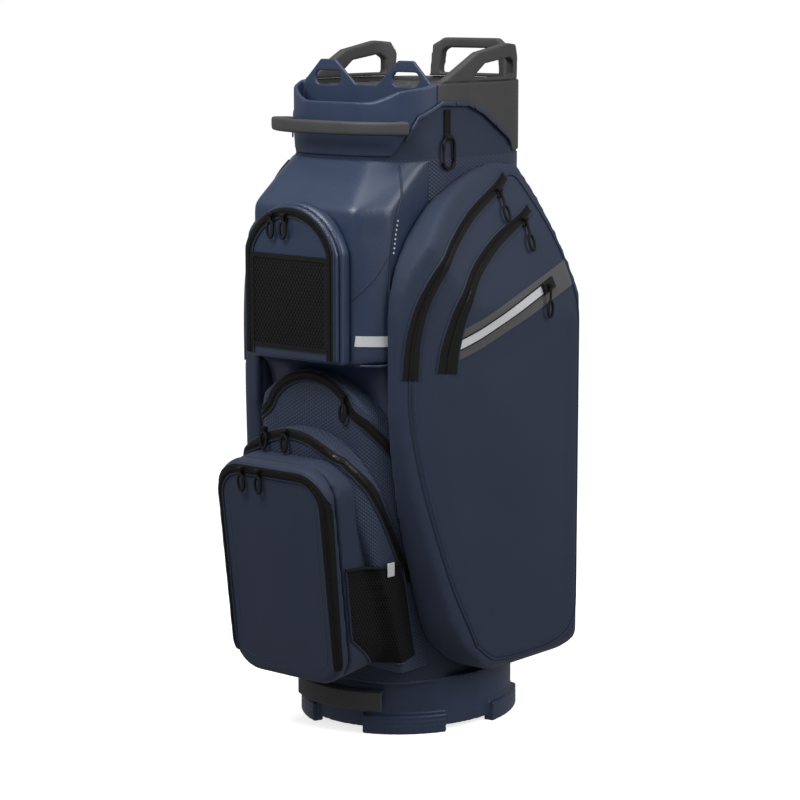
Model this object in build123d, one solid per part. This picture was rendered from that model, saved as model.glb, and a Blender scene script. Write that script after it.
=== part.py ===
from build123d import *
import os
from math import cos, radians, sin, sqrt

# Golf cart bag. X is across the bag, -Y is the front with the pockets, +Z is up.
# Lengths are millimetres. Z = 0 is the ground under the feet.

# ---- club tube -------------------------------------------------------------
TUBE_HALF_X = 118.0
TUBE_FRONT = 150.0
TUBE_BACK = 140.0
TUBE_CORNER = 88.0
SHELL_WALL = 3.0
BODY_BOTTOM = 74.0
BODY_TOP = 768.0
GAP = 0.3                 # play between pieces that are sewn or screwed together

# ---- base ------------------------------------------------------------------
BASE_HALF_X = 135.0
BASE_HALF_Y = 150.0
BASE_WALL = 4.0
FOOT_STANDS_OUT = 6.0
FOOT_DEPTH = 14.0
FOOT_HEIGHT = 26.0
FOOT_HALF_ANGLE = 22.0
FOOT_ANGLES = (-115.0, -38.0, 38.0, 115.0, 180.0)
FOOT_RIBS = 4
SKIRT_BOTTOM = 8.0
COLLAR_HEIGHT = 25.0
COLLAR_WALL = 3.0
PAD_THICK = 6.0
GRAB_REACH = 18.0
GRAB_HALF_ANGLE = 27.0
GRAB_TOP = 60.0
GRAB_DROP = 26.0

# ---- cuff, handles and top divider -----------------------------------------
CUFF_STANDS_OUT = 2.5
CUFF_SPLIT_Y = -84.0
REAR_CUFF_TOP = BODY_TOP + 94.0
FRONT_RIM = BODY_TOP + 70.0      # the low notch over the putter well
BRIDGE_TOP = BODY_TOP + 122.0
BRIDGE_SILL = REAR_CUFF_TOP - 4.0   # height of the bridge between its two humps
BRIDGE_WALL = 4.0
LOOP_TOP = REAR_CUFF_TOP + 49.0
LOOP_THICK = 12.0
REAR_LOOP_TOP = REAR_CUFF_TOP + 53.0
REAR_LOOP_HALF = 46.0
BOW_GAP = 20.0
BOW_THICK = 10.0
BOW_Z = BODY_TOP + 29.0
BOW_HEIGHT = 18.0
BOW_END_ANGLE = 48.0
TAB_TOP = BODY_TOP + 68.0        # top of the shell's tab on each side
TRIM_WIDTH = 6.0
SCREW_R = 2.6
SCREW_HEIGHT = 1.4
TRIM_THICK = 2.5
GRID_FRONT = -82.0
GRID_BACK = 126.0
GRID_ROWS = (3, 3, 3, 3, 2)
GRID_TOP = REAR_CUFF_TOP - 6.0
GRID_DEPTH = 44.0
GRID_WALL = 4.0
SHEET_WALL = 2.0
STAY_RADIUS = 3.0

# ---- pockets ---------------------------------------------------------------
FABRIC = 3.0
FRONT_HALF_X = 112.8      # half-width of the stack of front pockets
SIDE_OUT_X = 188.0        # outermost face of the side pockets
SIDE_BACK_Y = 150.0
SIDE_FRONT_Y = -182.0
SIDE_BOTTOM = 84.0
SIDE_TOP = 760.0
SIDE_SHOULDER = 545.0     # the side pocket's face is upright below, and rounds in above
SIDE_TOE_IN = 5.0
SIDE_ROUND = 46.0
SIDE_SLOPE_START = 556.0     # the back edge leans in towards the cuff above this height
SIDE_FLAT_FROM = -60.0
UPPER_FRONT_Y = -214.0
UPPER_BOTTOM = 505.0
UPPER_KNEE = 705.0           # the panel starts to draw in towards the cuff here
UPPER_TOP_HALF = 112.5
UPPER_TOP_CORNER = -104.0
UPPER_TOP_NOSE = 64.0
UPPER_TOP_Y = -154.0
BAND_BOTTOM = 531.0
BAND_TOP = 545.0
BAND_THICK = 1.0
POUCH_DEPTH = 4.0
VALU_HALF = 82.0
VALU_TOP = 713.0
VALU_DEPTH = 17.0
VALU_DOOR_THICK = 8.0
MID_FRONT_Y = -200.0
MID_TOP = 492.0
MID_SHOULDER = 405.0
SECOND_FRONT_Y = -238.0
SECOND_TOP = 420.0
SECOND_SHOULDER = 350.0
POCKET_BOTTOM = 92.0
BALL_HALF = 96.0
BALL_TOP = 388.0
BALL_BACK_Y = -221.0
BALL_BACK_LOW_Y = -150.0   # the back of the ball pocket slopes in below BALL_BACK_KNEE
BALL_BACK_KNEE = 300.0
BALL_LIP_Y = -228.0       # front of the ball pocket's frame at its bottom edge
BALL_TILT = 7.0           # degrees that the ball pocket's front leans out at its top
BALL_DOOR_THICK = 21.0
BALL_RADIUS = 44.0
BALL_ZIP_FROM = 128.0
BACK_PAD = 6.0
CHANNEL_GAP = 8.0
CHANNEL_TALL = 60.0

# ---- zips ------------------------------------------------------------------
TAPE = 1.2
TAPE_WIDTH = 9.0
SLIDER_CLEAR = 0.5
PIN_R = 0.8
PIN_CLEAR = 0.05
LOOP_LONG = 24.0
LOOP_WIDE = 13.0
FRONT_STEM = 7.0
SIDE_STEM = 20.0
SLANT_Y = 62.0            # slider of the slanted zip
SLANT_Z = 591.0

# ---- towel clip ------------------------------------------------------------
CLIP_Y = -66.0
CLIP_X = TUBE_HALF_X + 4.0
CLIP_PIN_Z = BODY_TOP + 24.0
CLIP_PIN_R = 1.5
CLIP_WIDE = 26.0
CLIP_TALL = 44.0
CLIP_THICK = 3.0
CLIP_WALL = 4.0
WEB_WIDE = 12.0
WEB_TOP = TAB_TOP - 8.0
GATE_TOP = CLIP_PIN_Z - 11.0
GATE_LONG = 20.0
GATE_CLEAR = 0.8


# ---- building helpers ------------------------------------------------------
def tube_plan(grow):
    """Rounded rectangle of the club tube, grown outwards."""
    centre = (TUBE_BACK - TUBE_FRONT) / 2
    plan = RectangleRounded(2 * (TUBE_HALF_X + grow), TUBE_FRONT + TUBE_BACK + 2 * grow,
                            TUBE_CORNER + grow)
    return Pos(0, centre) * plan


def column(plan, z0, z1):
    return extrude(Pos(0, 0, z0) * plan, z1 - z0)


def across(face, x0, x1):
    """Side outline, drawn with (Y, Z), run across the bag from x0 to x1."""
    return extrude(Plane.YZ.offset(x0) * face, x1 - x0)


def fore(face, y_back, y_front):
    """Front outline, drawn with (X, Z), run forwards from y_back to y_front."""
    return extrude(Plane.XZ.offset(-y_back) * face, y_back - y_front)


def outline(*points):
    return make_face(Polyline(*points, close=True))


def sector(angle, half, reach=400):
    """Wedge of plan about an angle measured from the front, towards +X."""
    a, b = radians(angle - half), radians(angle + half)
    return outline((0, 0), (reach * sin(a), -reach * cos(a)), (reach * sin(b), -reach * cos(b)))


def mirrored(shape):
    return mirror(shape, about=Plane.YZ)


def solids_of(shape):
    return list(shape.solids())


parts = {}


def keep(name, *shapes):
    found = [s for shape in shapes for s in solids_of(shape)]
    parts[name] = found[0] if len(found) == 1 else Compound(children=found)


tube_outside = column(tube_plan(GAP), 0, 1000)


# ---- base ------------------------------------------------------------------
def base_oval(grow):
    return Ellipse(BASE_HALF_X + grow, BASE_HALF_Y + grow)


def base_tray():
    deck = column(base_oval(0), BODY_BOTTOM - BASE_WALL, BODY_BOTTOM)
    deck += column(tube_plan(0), BODY_BOTTOM - BASE_WALL, BODY_BOTTOM)
    skirt = column(base_oval(0) - base_oval(-BASE_WALL), SKIRT_BOTTOM, BODY_BOTTOM - 1)
    inside = -SHELL_WALL - GAP
    collar = column(tube_plan(inside) - tube_plan(inside - COLLAR_WALL),
                    BODY_BOTTOM - 1, BODY_BOTTOM + COLLAR_HEIGHT)
    tray = deck + skirt + collar
    foot_ring = base_oval(FOOT_STANDS_OUT) - base_oval(FOOT_STANDS_OUT - FOOT_DEPTH)
    rib_ring = base_oval(FOOT_STANDS_OUT + 1.5) - base_oval(0)
    pitch = FOOT_HEIGHT / FOOT_RIBS
    for angle in FOOT_ANGLES:
        wedge = sector(angle, FOOT_HALF_ANGLE)
        tray += column(foot_ring & wedge, 0, FOOT_HEIGHT)
        for k in range(FOOT_RIBS):
            tray += column(rib_ring & wedge, pitch * (k + 0.35), pitch * (k + 0.8))
    return tray


def base_grab_handle():
    wedge = sector(0, GRAB_HALF_ANGLE)
    shelf = column((base_oval(GRAB_REACH) - base_oval(GAP)) & wedge, GRAB_TOP - 4, GRAB_TOP)
    lip = column((base_oval(GRAB_REACH) - base_oval(GRAB_REACH - 4)) & wedge,
                 GRAB_TOP - GRAB_DROP, GRAB_TOP - 3)
    return shelf + lip


keep("base_tray", base_tray())
keep("base_grab_handle", base_grab_handle())
keep("base_floor_pad", column(tube_plan(-SHELL_WALL - COLLAR_WALL - 3 * GAP),
                              BODY_BOTTOM + GAP, BODY_BOTTOM + GAP + PAD_THICK))


# ---- shell, cuff and handles -----------------------------------------------
def tab_outline(grow, far=260):
    """Everything below the shell's top edge, which rises into a tab on each side."""
    edge = [(-far, BODY_TOP), (-135, BODY_TOP), (-111, TAB_TOP - 18),
            (-79, TAB_TOP), (-25, TAB_TOP - 2),
            (6, TAB_TOP - 14), (61, TAB_TOP - 49), (75, BODY_TOP), (far, BODY_TOP)]
    return outline((-far, 0), *[(y, z + grow) for y, z in edge], (far, 0))


def body_shell():
    ring = tube_plan(0) - tube_plan(-SHELL_WALL)
    return column(ring, BODY_BOTTOM + GAP, REAR_CUFF_TOP) & across(tab_outline(0), -200, 200)


cuff_ring = column(tube_plan(CUFF_STANDS_OUT) - tube_plan(-SHELL_WALL),
                   BODY_TOP + GAP, REAR_CUFF_TOP + 20)
cuff_ring -= across(tab_outline(GAP), -200, 200)


def front_cuff():
    """Front rim with a low notch over the putter well and a bridge behind it."""
    split = CUFF_SPLIT_Y - GAP
    side = outline((-200, BODY_TOP), (-200, FRONT_RIM), (-146, FRONT_RIM),
                   (-128, REAR_CUFF_TOP - 10), (-104, REAR_CUFF_TOP - 5),
                   (split, REAR_CUFF_TOP), (split, BODY_TOP))
    rim = cuff_ring & across(side, -200, 200)
    half = TUBE_HALF_X - 6
    low = BODY_TOP + 12
    crest = outline((-half, low), (-half, BRIDGE_SILL), (-80, BRIDGE_TOP), (-54, BRIDGE_TOP),
                    (-18, BRIDGE_SILL), (18, BRIDGE_SILL), (54, BRIDGE_TOP), (80, BRIDGE_TOP),
                    (half, BRIDGE_SILL), (half, low))
    window = fore(RectangleRounded(44, 18, 8), split + 5, split - BRIDGE_WALL - 5)
    bridge = fore(crest, split, split - BRIDGE_WALL)
    for x in (-67, 67):
        bridge -= Pos(x, 0, BRIDGE_TOP - 24) * window
    bridge &= column(tube_plan(-SHELL_WALL), low, BRIDGE_TOP)
    return rim + bridge


def rear_cuff():
    side = outline((CUFF_SPLIT_Y, BODY_TOP), (CUFF_SPLIT_Y, REAR_CUFF_TOP),
                   (200, REAR_CUFF_TOP), (200, BODY_TOP))
    return cuff_ring & across(side, -200, 200)


def side_handle():
    """Raised grip on the cuff's right rim, with a window for the fingers."""
    seat = REAR_CUFF_TOP + GAP
    grip = outline((-78, seat), (-4, LOOP_TOP - 11), (60, LOOP_TOP), (84, LOOP_TOP - 2), (93, LOOP_TOP - 18),
                   (91, seat))
    window = outline((-14, seat + 5), (12, LOOP_TOP - 26), (66, LOOP_TOP - 19),
                     (76, LOOP_TOP - 25), (76, seat + 5))
    x_out = TUBE_HALF_X + CUFF_STANDS_OUT
    bar = across(grip - window, x_out - LOOP_THICK - 10, x_out)
    ring = tube_plan(CUFF_STANDS_OUT) - tube_plan(CUFF_STANDS_OUT - LOOP_THICK)
    return bar & column(ring, seat, LOOP_TOP)


def rear_handle():
    seat = REAR_CUFF_TOP + GAP
    high = REAR_LOOP_TOP - 10
    outer = outline((-66, seat), (-62, high), (-REAR_LOOP_HALF, REAR_LOOP_TOP),
                    (REAR_LOOP_HALF, REAR_LOOP_TOP), (62, high), (66, seat))
    window = outline((-52, seat + 5), (-48, high - 9), (-40, high - 4), (40, high - 4),
                     (48, high - 9), (52, seat + 5))
    y_out = TUBE_BACK + CUFF_STANDS_OUT
    ring = tube_plan(CUFF_STANDS_OUT) - tube_plan(CUFF_STANDS_OUT - LOOP_THICK)
    return fore(outer - window, y_out + 5, y_out - 40) & column(ring, seat, REAR_LOOP_TOP)


def front_handle():
    inner = CUFF_STANDS_OUT + BOW_GAP
    corner_x = TUBE_HALF_X - TUBE_CORNER
    corner_y = -TUBE_FRONT + TUBE_CORNER

    def fan(angle):
        a = radians(angle)
        return (corner_x + 300 * sin(a), corner_y - 300 * cos(a))

    def flip(point):
        return (-point[0], point[1])

    end = fan(BOW_END_ANGLE)
    start = fan(BOW_END_ANGLE - 9)
    reach = outline((-corner_x, corner_y), flip(end), end, (corner_x, corner_y))
    bow = column((tube_plan(inner + BOW_THICK) - tube_plan(inner)) & reach,
                 BOW_Z, BOW_Z + BOW_HEIGHT)
    foot = outline((corner_x, corner_y), start, end)
    post = column((tube_plan(inner + 1) - tube_plan(CUFF_STANDS_OUT + GAP)) & foot,
                  BOW_Z, BOW_Z + BOW_HEIGHT)
    return bow + post + mirrored(post)


def side_trim():
    """Moulded strip that covers the edge between the cuff and the shell's tab."""
    edge = tab_outline(TRIM_WIDTH / 2) - tab_outline(-TRIM_WIDTH / 2)
    high = TAB_TOP + TRIM_WIDTH
    reach = outline((-125, BODY_TOP), (-125, high), (68, high), (68, BODY_TOP))
    proud = CUFF_STANDS_OUT + GAP
    ring = tube_plan(proud + TRIM_THICK) - tube_plan(proud)
    return across(edge & reach, 60, 200) & column(ring, BODY_TOP, high)


def cuff_screws():
    """Screw heads on the side trims, with their shanks inside the strip."""
    seat = TUBE_HALF_X + CUFF_STANDS_OUT + TRIM_THICK + 2 * GAP
    head = extrude(Plane.YZ * Circle(SCREW_R), SCREW_HEIGHT)
    right = [Pos(seat, y, TAB_TOP - drop) * head for y, drop in ((-50, 1), (-12, 7), (34, 32))]
    return right + [mirrored(s) for s in right]


def grid_plates(wall, z0, z1):
    """Cross walls and long walls of the club grid, as plates that meet edge to edge."""
    clip = column(tube_plan(-SHELL_WALL - GAP - 2 * STAY_RADIUS - GAP), z0, z1)
    rows = len(GRID_ROWS)
    pitch = (GRID_BACK - GRID_FRONT) / rows
    plates = []
    for k in range(rows + 1):
        y = GRID_FRONT + k * pitch
        plates.append(Pos(0, y, (z0 + z1) / 2) * Box(300, wall, z1 - z0) & clip)
    for k, cells in enumerate(GRID_ROWS):
        y = GRID_FRONT + (k + 0.5) * pitch
        for j in range(1, cells):
            x = (2 * j / cells - 1) * (TUBE_HALF_X - SHELL_WALL)
            plates.append(Pos(x, y, (z0 + z1) / 2) * Box(wall, pitch - wall - 2 * GAP, z1 - z0) & clip)
    return plates


def frame_stays():
    """Fibreglass rods that hold the tube upright, two on each side and two behind."""
    half = TUBE_HALF_X - SHELL_WALL - GAP - STAY_RADIUS
    back = TUBE_BACK - SHELL_WALL - GAP - STAY_RADIUS
    low = BODY_BOTTOM + COLLAR_HEIGHT + 2
    rod = column(Circle(STAY_RADIUS), low, BODY_TOP)
    places = [(half, -40), (half, 40), (-half, -40), (-half, 40), (24, back), (-24, back)]
    return [Pos(x, y, 0) * rod for x, y in places]


keep("body_shell", body_shell())
keep("front_cuff", front_cuff())
keep("rear_cuff", rear_cuff())
keep("front_handle", front_handle())
keep("side_handle_right", side_handle())
keep("side_handle_left", mirrored(side_handle()))
keep("rear_handle", rear_handle())
keep("side_trims", side_trim(), mirrored(side_trim()))
keep("cuff_screws", *cuff_screws())
keep("top_divider", *grid_plates(GRID_WALL, GRID_TOP - GRID_DEPTH, GRID_TOP))
keep("club_dividers", *grid_plates(SHEET_WALL, BODY_BOTTOM + COLLAR_HEIGHT + 2,
                                   GRID_TOP - GRID_DEPTH - GAP))
keep("frame_stays", *frame_stays())


# ---- pockets ---------------------------------------------------------------
def block(side, plan, front, inset):
    """Solid inside three outlines at once: side (Y, Z), plan (X, Y) and front (X, Z)."""
    side, plan, front = [offset(f, -inset) if inset else f for f in (side, plan, front)]
    solid = across(side, -260, 260) & column(plan, 0, 1000) & fore(front, 260, -400)
    return solid - tube_outside


def pocket(side, plan, front):
    """Fabric pocket: walls of FABRIC thickness, closed by the shell at its back."""
    return block(side, plan, front, 0) - block(side, plan, front, FABRIC)


def arch(half, bottom, shoulder, top):
    return make_face(Curve() + [
        Polyline((-half, shoulder), (-half, bottom), (half, bottom), (half, shoulder)),
        ThreePointArc((half, shoulder), (0, top), (-half, shoulder))])


def side_plan():
    flat = SIDE_OUT_X
    return make_face(Curve() + [
        Polyline((flat - 22, SIDE_BACK_Y), (60, SIDE_BACK_Y), (60, -60), (FRONT_HALF_X + GAP, -60),
                 (FRONT_HALF_X + GAP, -186), (130, -186)),
        ThreePointArc((130, -186), (163, -140), (flat - SIDE_TOE_IN, SIDE_FLAT_FROM)),
        Line((flat - SIDE_TOE_IN, SIDE_FLAT_FROM), (flat, SIDE_BACK_Y - 30)),
        ThreePointArc((flat, SIDE_BACK_Y - 30), (flat - 6, SIDE_BACK_Y - 9),
                      (flat - 22, SIDE_BACK_Y))])


shoulder_points = ((SIDE_OUT_X, SIDE_SHOULDER), (SIDE_OUT_X - 30, SIDE_SHOULDER + 127),
                   (TUBE_HALF_X + 2, SIDE_TOP + 15))
shoulder_arc = ThreePointArc(*shoulder_points)


def shoulder_face(z):
    """X of the side pocket's rounded shoulder at a height, and its outward normal."""
    centre, radius = shoulder_arc.arc_center, shoulder_arc.radius
    rise = z - centre.Y
    run = sqrt(radius * radius - rise * rise)
    return centre.X + run, (run / radius, 0, rise / radius)


def side_pocket():
    side = make_face(Curve() + [
        ThreePointArc((20, SIDE_TOP - 4), (-72, 728), (-148, 665)),
        ThreePointArc((-148, 665), (-174, 614), (SIDE_FRONT_Y, 550)),
        Line((SIDE_FRONT_Y, 550), (SIDE_FRONT_Y, 440)),
        ThreePointArc((SIDE_FRONT_Y, 440), (-163, 313), (-126, 190)),
        ThreePointArc((-126, 190), (-92, 120), (-30, SIDE_BOTTOM)),
        Line((-30, SIDE_BOTTOM), (SIDE_BACK_Y - SIDE_ROUND, SIDE_BOTTOM)),
        ThreePointArc((SIDE_BACK_Y - SIDE_ROUND, SIDE_BOTTOM),
                      (SIDE_BACK_Y - 0.3 * SIDE_ROUND, SIDE_BOTTOM + 0.3 * SIDE_ROUND),
                      (SIDE_BACK_Y, SIDE_BOTTOM + SIDE_ROUND)),
        Line((SIDE_BACK_Y, SIDE_BOTTOM + SIDE_ROUND), (SIDE_BACK_Y, SIDE_SLOPE_START)),
        ThreePointArc((SIDE_BACK_Y, SIDE_SLOPE_START), (119, 652), (70, SIDE_TOP - 8)),
        Line((70, SIDE_TOP - 8), (20, SIDE_TOP - 4))])
    flat = SIDE_OUT_X
    top = SIDE_TOP + 15
    front = make_face(Curve() + [
        Polyline((TUBE_HALF_X + 2, top), (60, top), (60, 70), (flat - 20, SIDE_BOTTOM)),
        ThreePointArc((flat - 20, SIDE_BOTTOM), (flat - 5, SIDE_BOTTOM + 13), (flat, 120)),
        Line((flat, 120), (flat, SIDE_SHOULDER)),
        shoulder_arc])
    return pocket(side, side_plan(), front)


def stack_plan(front_y, nose):
    """Plan of a front pocket: full width at the tube, narrower at its front face."""
    half = FRONT_HALF_X
    shape = outline((-half, 0), (-half, front_y + 40), (-nose, front_y), (nose, front_y),
                    (half, front_y + 40), (half, 0))
    corners = [v for v in shape.vertices() if v.Y < -10]
    return fillet(corners, 14)


def panel_plan(half, corner_y, nose, front_y):
    shape = outline((-half, 0), (-half, corner_y), (-nose, front_y), (nose, front_y),
                    (half, corner_y), (half, 0))
    return fillet([v for v in shape.vertices() if v.Y < -10], 14)


def upper_front_solid(inset):
    """Upright box that draws in to the club tube's outline under the cuff."""
    wide = panel_plan(FRONT_HALF_X - inset, UPPER_FRONT_Y + 40, VALU_HALF + 4 - inset,
                      UPPER_FRONT_Y + inset)
    slim = panel_plan(UPPER_TOP_HALF - inset, UPPER_TOP_CORNER, UPPER_TOP_NOSE - inset,
                      UPPER_TOP_Y + inset)
    low = UPPER_BOTTOM + inset
    top = loft([Pos(0, 0, UPPER_KNEE) * wide, Pos(0, 0, BODY_TOP - 2 - inset) * slim])
    return column(wide, low, UPPER_KNEE) + top - tube_outside


def upper_front_panel():
    return upper_front_solid(0) - upper_front_solid(FABRIC)


def seam_line(z):
    """Slanted seam between the mid pocket and the second pocket: Y at a height."""
    return -111 - (z - 187) * 0.5


def seam_height(y):
    return 187 - 2 * (y + 111)


def mid_pocket():
    side = outline((-10, POCKET_BOTTOM), (seam_line(POCKET_BOTTOM), POCKET_BOTTOM),
                   (MID_FRONT_Y, seam_height(MID_FRONT_Y)), (MID_FRONT_Y, MID_TOP),
                   (-10, MID_TOP))
    front = arch(FRONT_HALF_X, POCKET_BOTTOM, MID_SHOULDER, MID_TOP)
    return pocket(side, stack_plan(MID_FRONT_Y, FRONT_HALF_X - 26), front)


def second_pocket():
    over = BALL_TOP + 2 * GAP
    side = outline((seam_line(POCKET_BOTTOM) - GAP, POCKET_BOTTOM),
                   (MID_FRONT_Y - GAP, seam_height(MID_FRONT_Y)),
                   (MID_FRONT_Y - GAP, SECOND_TOP), (SECOND_FRONT_Y, SECOND_TOP),
                   (SECOND_FRONT_Y, over), (BALL_BACK_Y + GAP, over),
                   (BALL_BACK_Y + GAP, BALL_BACK_KNEE), (BALL_BACK_LOW_Y + GAP, POCKET_BOTTOM))
    front = arch(FRONT_HALF_X, POCKET_BOTTOM, SECOND_SHOULDER, SECOND_TOP)
    return pocket(side, stack_plan(SECOND_FRONT_Y, FRONT_HALF_X - 22), front)


# The ball pocket leans forwards, so its frame and door are drawn on a tilted plane
# whose origin is the hinge line at the bottom of the door.
ball_hinge = (0.0, BALL_LIP_Y, POCKET_BOTTOM)
lean = radians(BALL_TILT)
ball_plane = Plane(origin=ball_hinge, x_dir=(1, 0, 0), z_dir=(0, -cos(lean), -sin(lean)))
ball_height = (BALL_TOP - POCKET_BOTTOM) / cos(lean) - 6


def ball_outline(grow):
    face = RectangleRounded(2 * (BALL_HALF + grow), ball_height + 2 * grow, BALL_RADIUS + grow)
    return Pos(0, ball_height / 2) * face


def ball_pocket():
    back = across(outline((-300, 0), (BALL_BACK_LOW_Y, 0), (BALL_BACK_LOW_Y, POCKET_BOTTOM),
                          (BALL_BACK_Y, BALL_BACK_KNEE), (BALL_BACK_Y, 500), (-300, 500)), -150, 150)
    reach = 2 * (BALL_BACK_LOW_Y - BALL_LIP_Y)
    frame = extrude(ball_plane * ball_outline(0), -reach) & back
    inner = extrude(ball_plane.offset(1) * ball_outline(-FABRIC), -reach)
    return frame - (inner & Pos(0, -FABRIC, 0) * back)


def ball_door():
    panel = extrude(ball_plane.offset(GAP) * ball_outline(0), BALL_DOOR_THICK)
    face = panel.faces().sort_by(Axis(ball_hinge, tuple(ball_plane.z_dir)))[-1]
    return fillet(face.edges(), 9)


valu_arch = dict(half=VALU_HALF, bottom=UPPER_BOTTOM + 3, shoulder=VALU_TOP - 62, top=VALU_TOP)
valu_front = UPPER_FRONT_Y - GAP - VALU_DEPTH
valu_hinge = (0.0, valu_front - GAP, UPPER_BOTTOM + 6)


def valuables_pocket():
    """Shallow arched box, open in front, where its door closes."""
    shape = arch(**valu_arch)
    box = fore(shape, UPPER_FRONT_Y - GAP, valu_front)
    return box - fore(offset(shape, -FABRIC), UPPER_FRONT_Y - GAP - FABRIC, valu_front - 1)


def valuables_door():
    shape = offset(arch(**valu_arch), -FABRIC)
    panel = fore(shape, valu_front - GAP, valu_front - GAP - VALU_DOOR_THICK)
    return fillet(panel.faces().sort_by(Axis.Y)[0].edges(), 4)


def lower_mesh_pocket():
    """Stretch mesh bottle pouch sewn on the side walls of the second and ball pockets."""
    back = across(outline((-194, 112), (-122, 112), (-147, 236), (-194, 246)),
                  FRONT_HALF_X + GAP, FRONT_HALF_X + GAP + POUCH_DEPTH)
    front = across(outline((-231, 150), (-177, 150), (-208, 246), (-243, 246)),
                   BALL_HALF + GAP, BALL_HALF + GAP + POUCH_DEPTH)
    return [back, front]


def reflective_band():
    """Reflective strip across the panel's chamfered front corner."""
    plan = panel_plan(FRONT_HALF_X, UPPER_FRONT_Y + 40, VALU_HALF + 4, UPPER_FRONT_Y)
    strip = offset(plan, GAP + BAND_THICK) - offset(plan, GAP)
    corner = Pos(FRONT_HALF_X, UPPER_FRONT_Y + 18) * Rectangle(2 * (FRONT_HALF_X - VALU_HALF - 8), 26)
    return column(strip & corner, BAND_BOTTOM, BAND_TOP)


def back_panel():
    """Spine pad with the channel that a cart's strap passes through, left to right."""
    y = TUBE_BACK + GAP
    mid = 420
    pad = Pos(0, y + BACK_PAD / 2, 430) * Box(2 * 56, BACK_PAD, 640)
    ends = [Pos(0, y + BACK_PAD + CHANNEL_GAP / 2, mid + s * (CHANNEL_TALL / 2 + 7))
            * Box(90, CHANNEL_GAP, 14) for s in (-1, 1)]
    cover = Pos(0, y + BACK_PAD + CHANNEL_GAP + 1, mid) * Box(90, 2, CHANNEL_TALL + 28)
    return pad + ends[0] + ends[1] + cover


side = side_pocket()
keep("side_pocket_right", side)
keep("side_pocket_left", mirrored(side))
keep("upper_front_panel", upper_front_panel())
keep("mid_pocket", mid_pocket())
keep("second_pocket", second_pocket())
keep("ball_pocket", ball_pocket())
keep("ball_door", ball_door())
keep("valuables_pocket", valuables_pocket())
keep("valuables_door", valuables_door())
pouches = lower_mesh_pocket()
keep("lower_mesh_pockets", *pouches, *[mirrored(p) for p in pouches])
keep("reflective_bands", reflective_band(), mirrored(reflective_band()))
keep("back_panel", back_panel())


# ---- zips ------------------------------------------------------------------
def arch_tape(shape, y):
    ring = offset(shape, -2) - offset(shape, -2 - TAPE_WIDTH)
    return fore(ring, y - GAP / 2, y - GAP / 2 - TAPE)


def above(shape, z):
    return shape & column(Rectangle(600, 900), z, 1000)


mid_tape = above(arch_tape(arch(FRONT_HALF_X - 24, 300, MID_SHOULDER, MID_TOP), MID_FRONT_Y), 425)
second_tape = above(arch_tape(arch(FRONT_HALF_X - 20, 300, SECOND_SHOULDER + 16, SECOND_TOP),
                              SECOND_FRONT_Y), BALL_TOP + 6)
ball_ring = ball_outline(-8) - ball_outline(-8 - TAPE_WIDTH)
ball_face = BALL_DOOR_THICK + GAP
keep("front_zip_tapes", mid_tape, second_tape)
keep("ball_zip_tape",
     above(extrude(ball_plane.offset(ball_face + GAP / 2) * ball_ring, TAPE), BALL_ZIP_FROM))
valu_face = valu_hinge[1] - VALU_DOOR_THICK
keep("valuables_zip_tape",
     above(arch_tape(offset(arch(**valu_arch), -FABRIC - 5), valu_face), 640))


def zip_slider():
    """Slider body with two ears and the pin that its pull hangs from."""
    lift = TAPE + GAP / 2 + SLIDER_CLEAR
    plate = Pos(0, 0, lift + 1) * Box(9, 12, 2)
    ear = Pos(0, 4, lift + 3.4) * Box(1.5, 4, 4)
    pin = Pos(0, 4, lift + 4.2) * Rot(0, 90, 0) * Cylinder(PIN_R, 8)
    return plate + Pos(-3.7, 0, 0) * ear + Pos(3.7, 0, 0) * ear + pin


def zip_pull(stem):
    """Pull: an eye on the slider's pin, a flat stem and a loop for the fingers."""
    z = TAPE + GAP / 2 + SLIDER_CLEAR + 4.2
    eye = Pos(0, 4, z) * Rot(0, 90, 0) * Cylinder(2.0, 5)
    bar = Pos(0, 2.6 - stem / 2, z) * Box(3, stem, 1.6)
    centre = 3.5 - stem - LOOP_LONG / 2
    ring = Ellipse(LOOP_WIDE / 2, LOOP_LONG / 2) - Ellipse(LOOP_WIDE / 2 - 2.6, LOOP_LONG / 2 - 2.8)
    loop = extrude(Pos(0, centre, z - 1.1) * ring, 2.2)
    hole = Pos(0, 4, z) * Rot(0, 90, 0) * Cylinder(PIN_R + PIN_CLEAR, 6)
    return eye + bar + loop - hole


def on_face(point, normal, level):
    """Plane on a pocket's face: x_dir level, z_dir out of the face."""
    return Plane(origin=point, x_dir=level, z_dir=normal)


front_normal = (0, -1, 0)
right = (1, 0, 0)
slider_places = {}


def zip_pair(name, plane, stem):
    slider_places[name] = plane
    keep(name + "_slider", plane * zip_slider())
    keep(name + "_pull", plane * zip_pull(stem))


def ball_point(x, below_top):
    return ball_plane.offset(ball_face).from_local_coords(Vector(x, ball_height - below_top, 0))


for side_name, x in (("left", -44), ("right", -14)):
    zip_pair("ball_" + side_name, on_face(ball_point(x, 12.5), tuple(ball_plane.z_dir), right),
             FRONT_STEM)

valu_row = VALU_TOP - 20
for side_name, x in (("left", -28), ("right", -6)):
    zip_pair("valuables_" + side_name, on_face((x, valu_face, valu_row), front_normal, right),
             FRONT_STEM)

second_row = SECOND_TOP - 7
for side_name, x in (("left", -44), ("right", -8)):
    zip_pair("second_" + side_name, on_face((x, SECOND_FRONT_Y, second_row), front_normal, right),
             FRONT_STEM - 3)

zip_pair("mid", on_face((60, MID_FRONT_Y, MID_TOP - 31), front_normal, right),
         FRONT_STEM + 3)

# Side zips: two curved ones over the shoulder and the slanted one across the panel.


def flat_side_x(y):
    """X of the side pocket's flat stretch."""
    slope = SIDE_TOE_IN / (SIDE_BACK_Y - 30 - SIDE_FLAT_FROM)
    return SIDE_OUT_X - SIDE_TOE_IN + slope * (y - SIDE_FLAT_FROM)


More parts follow.
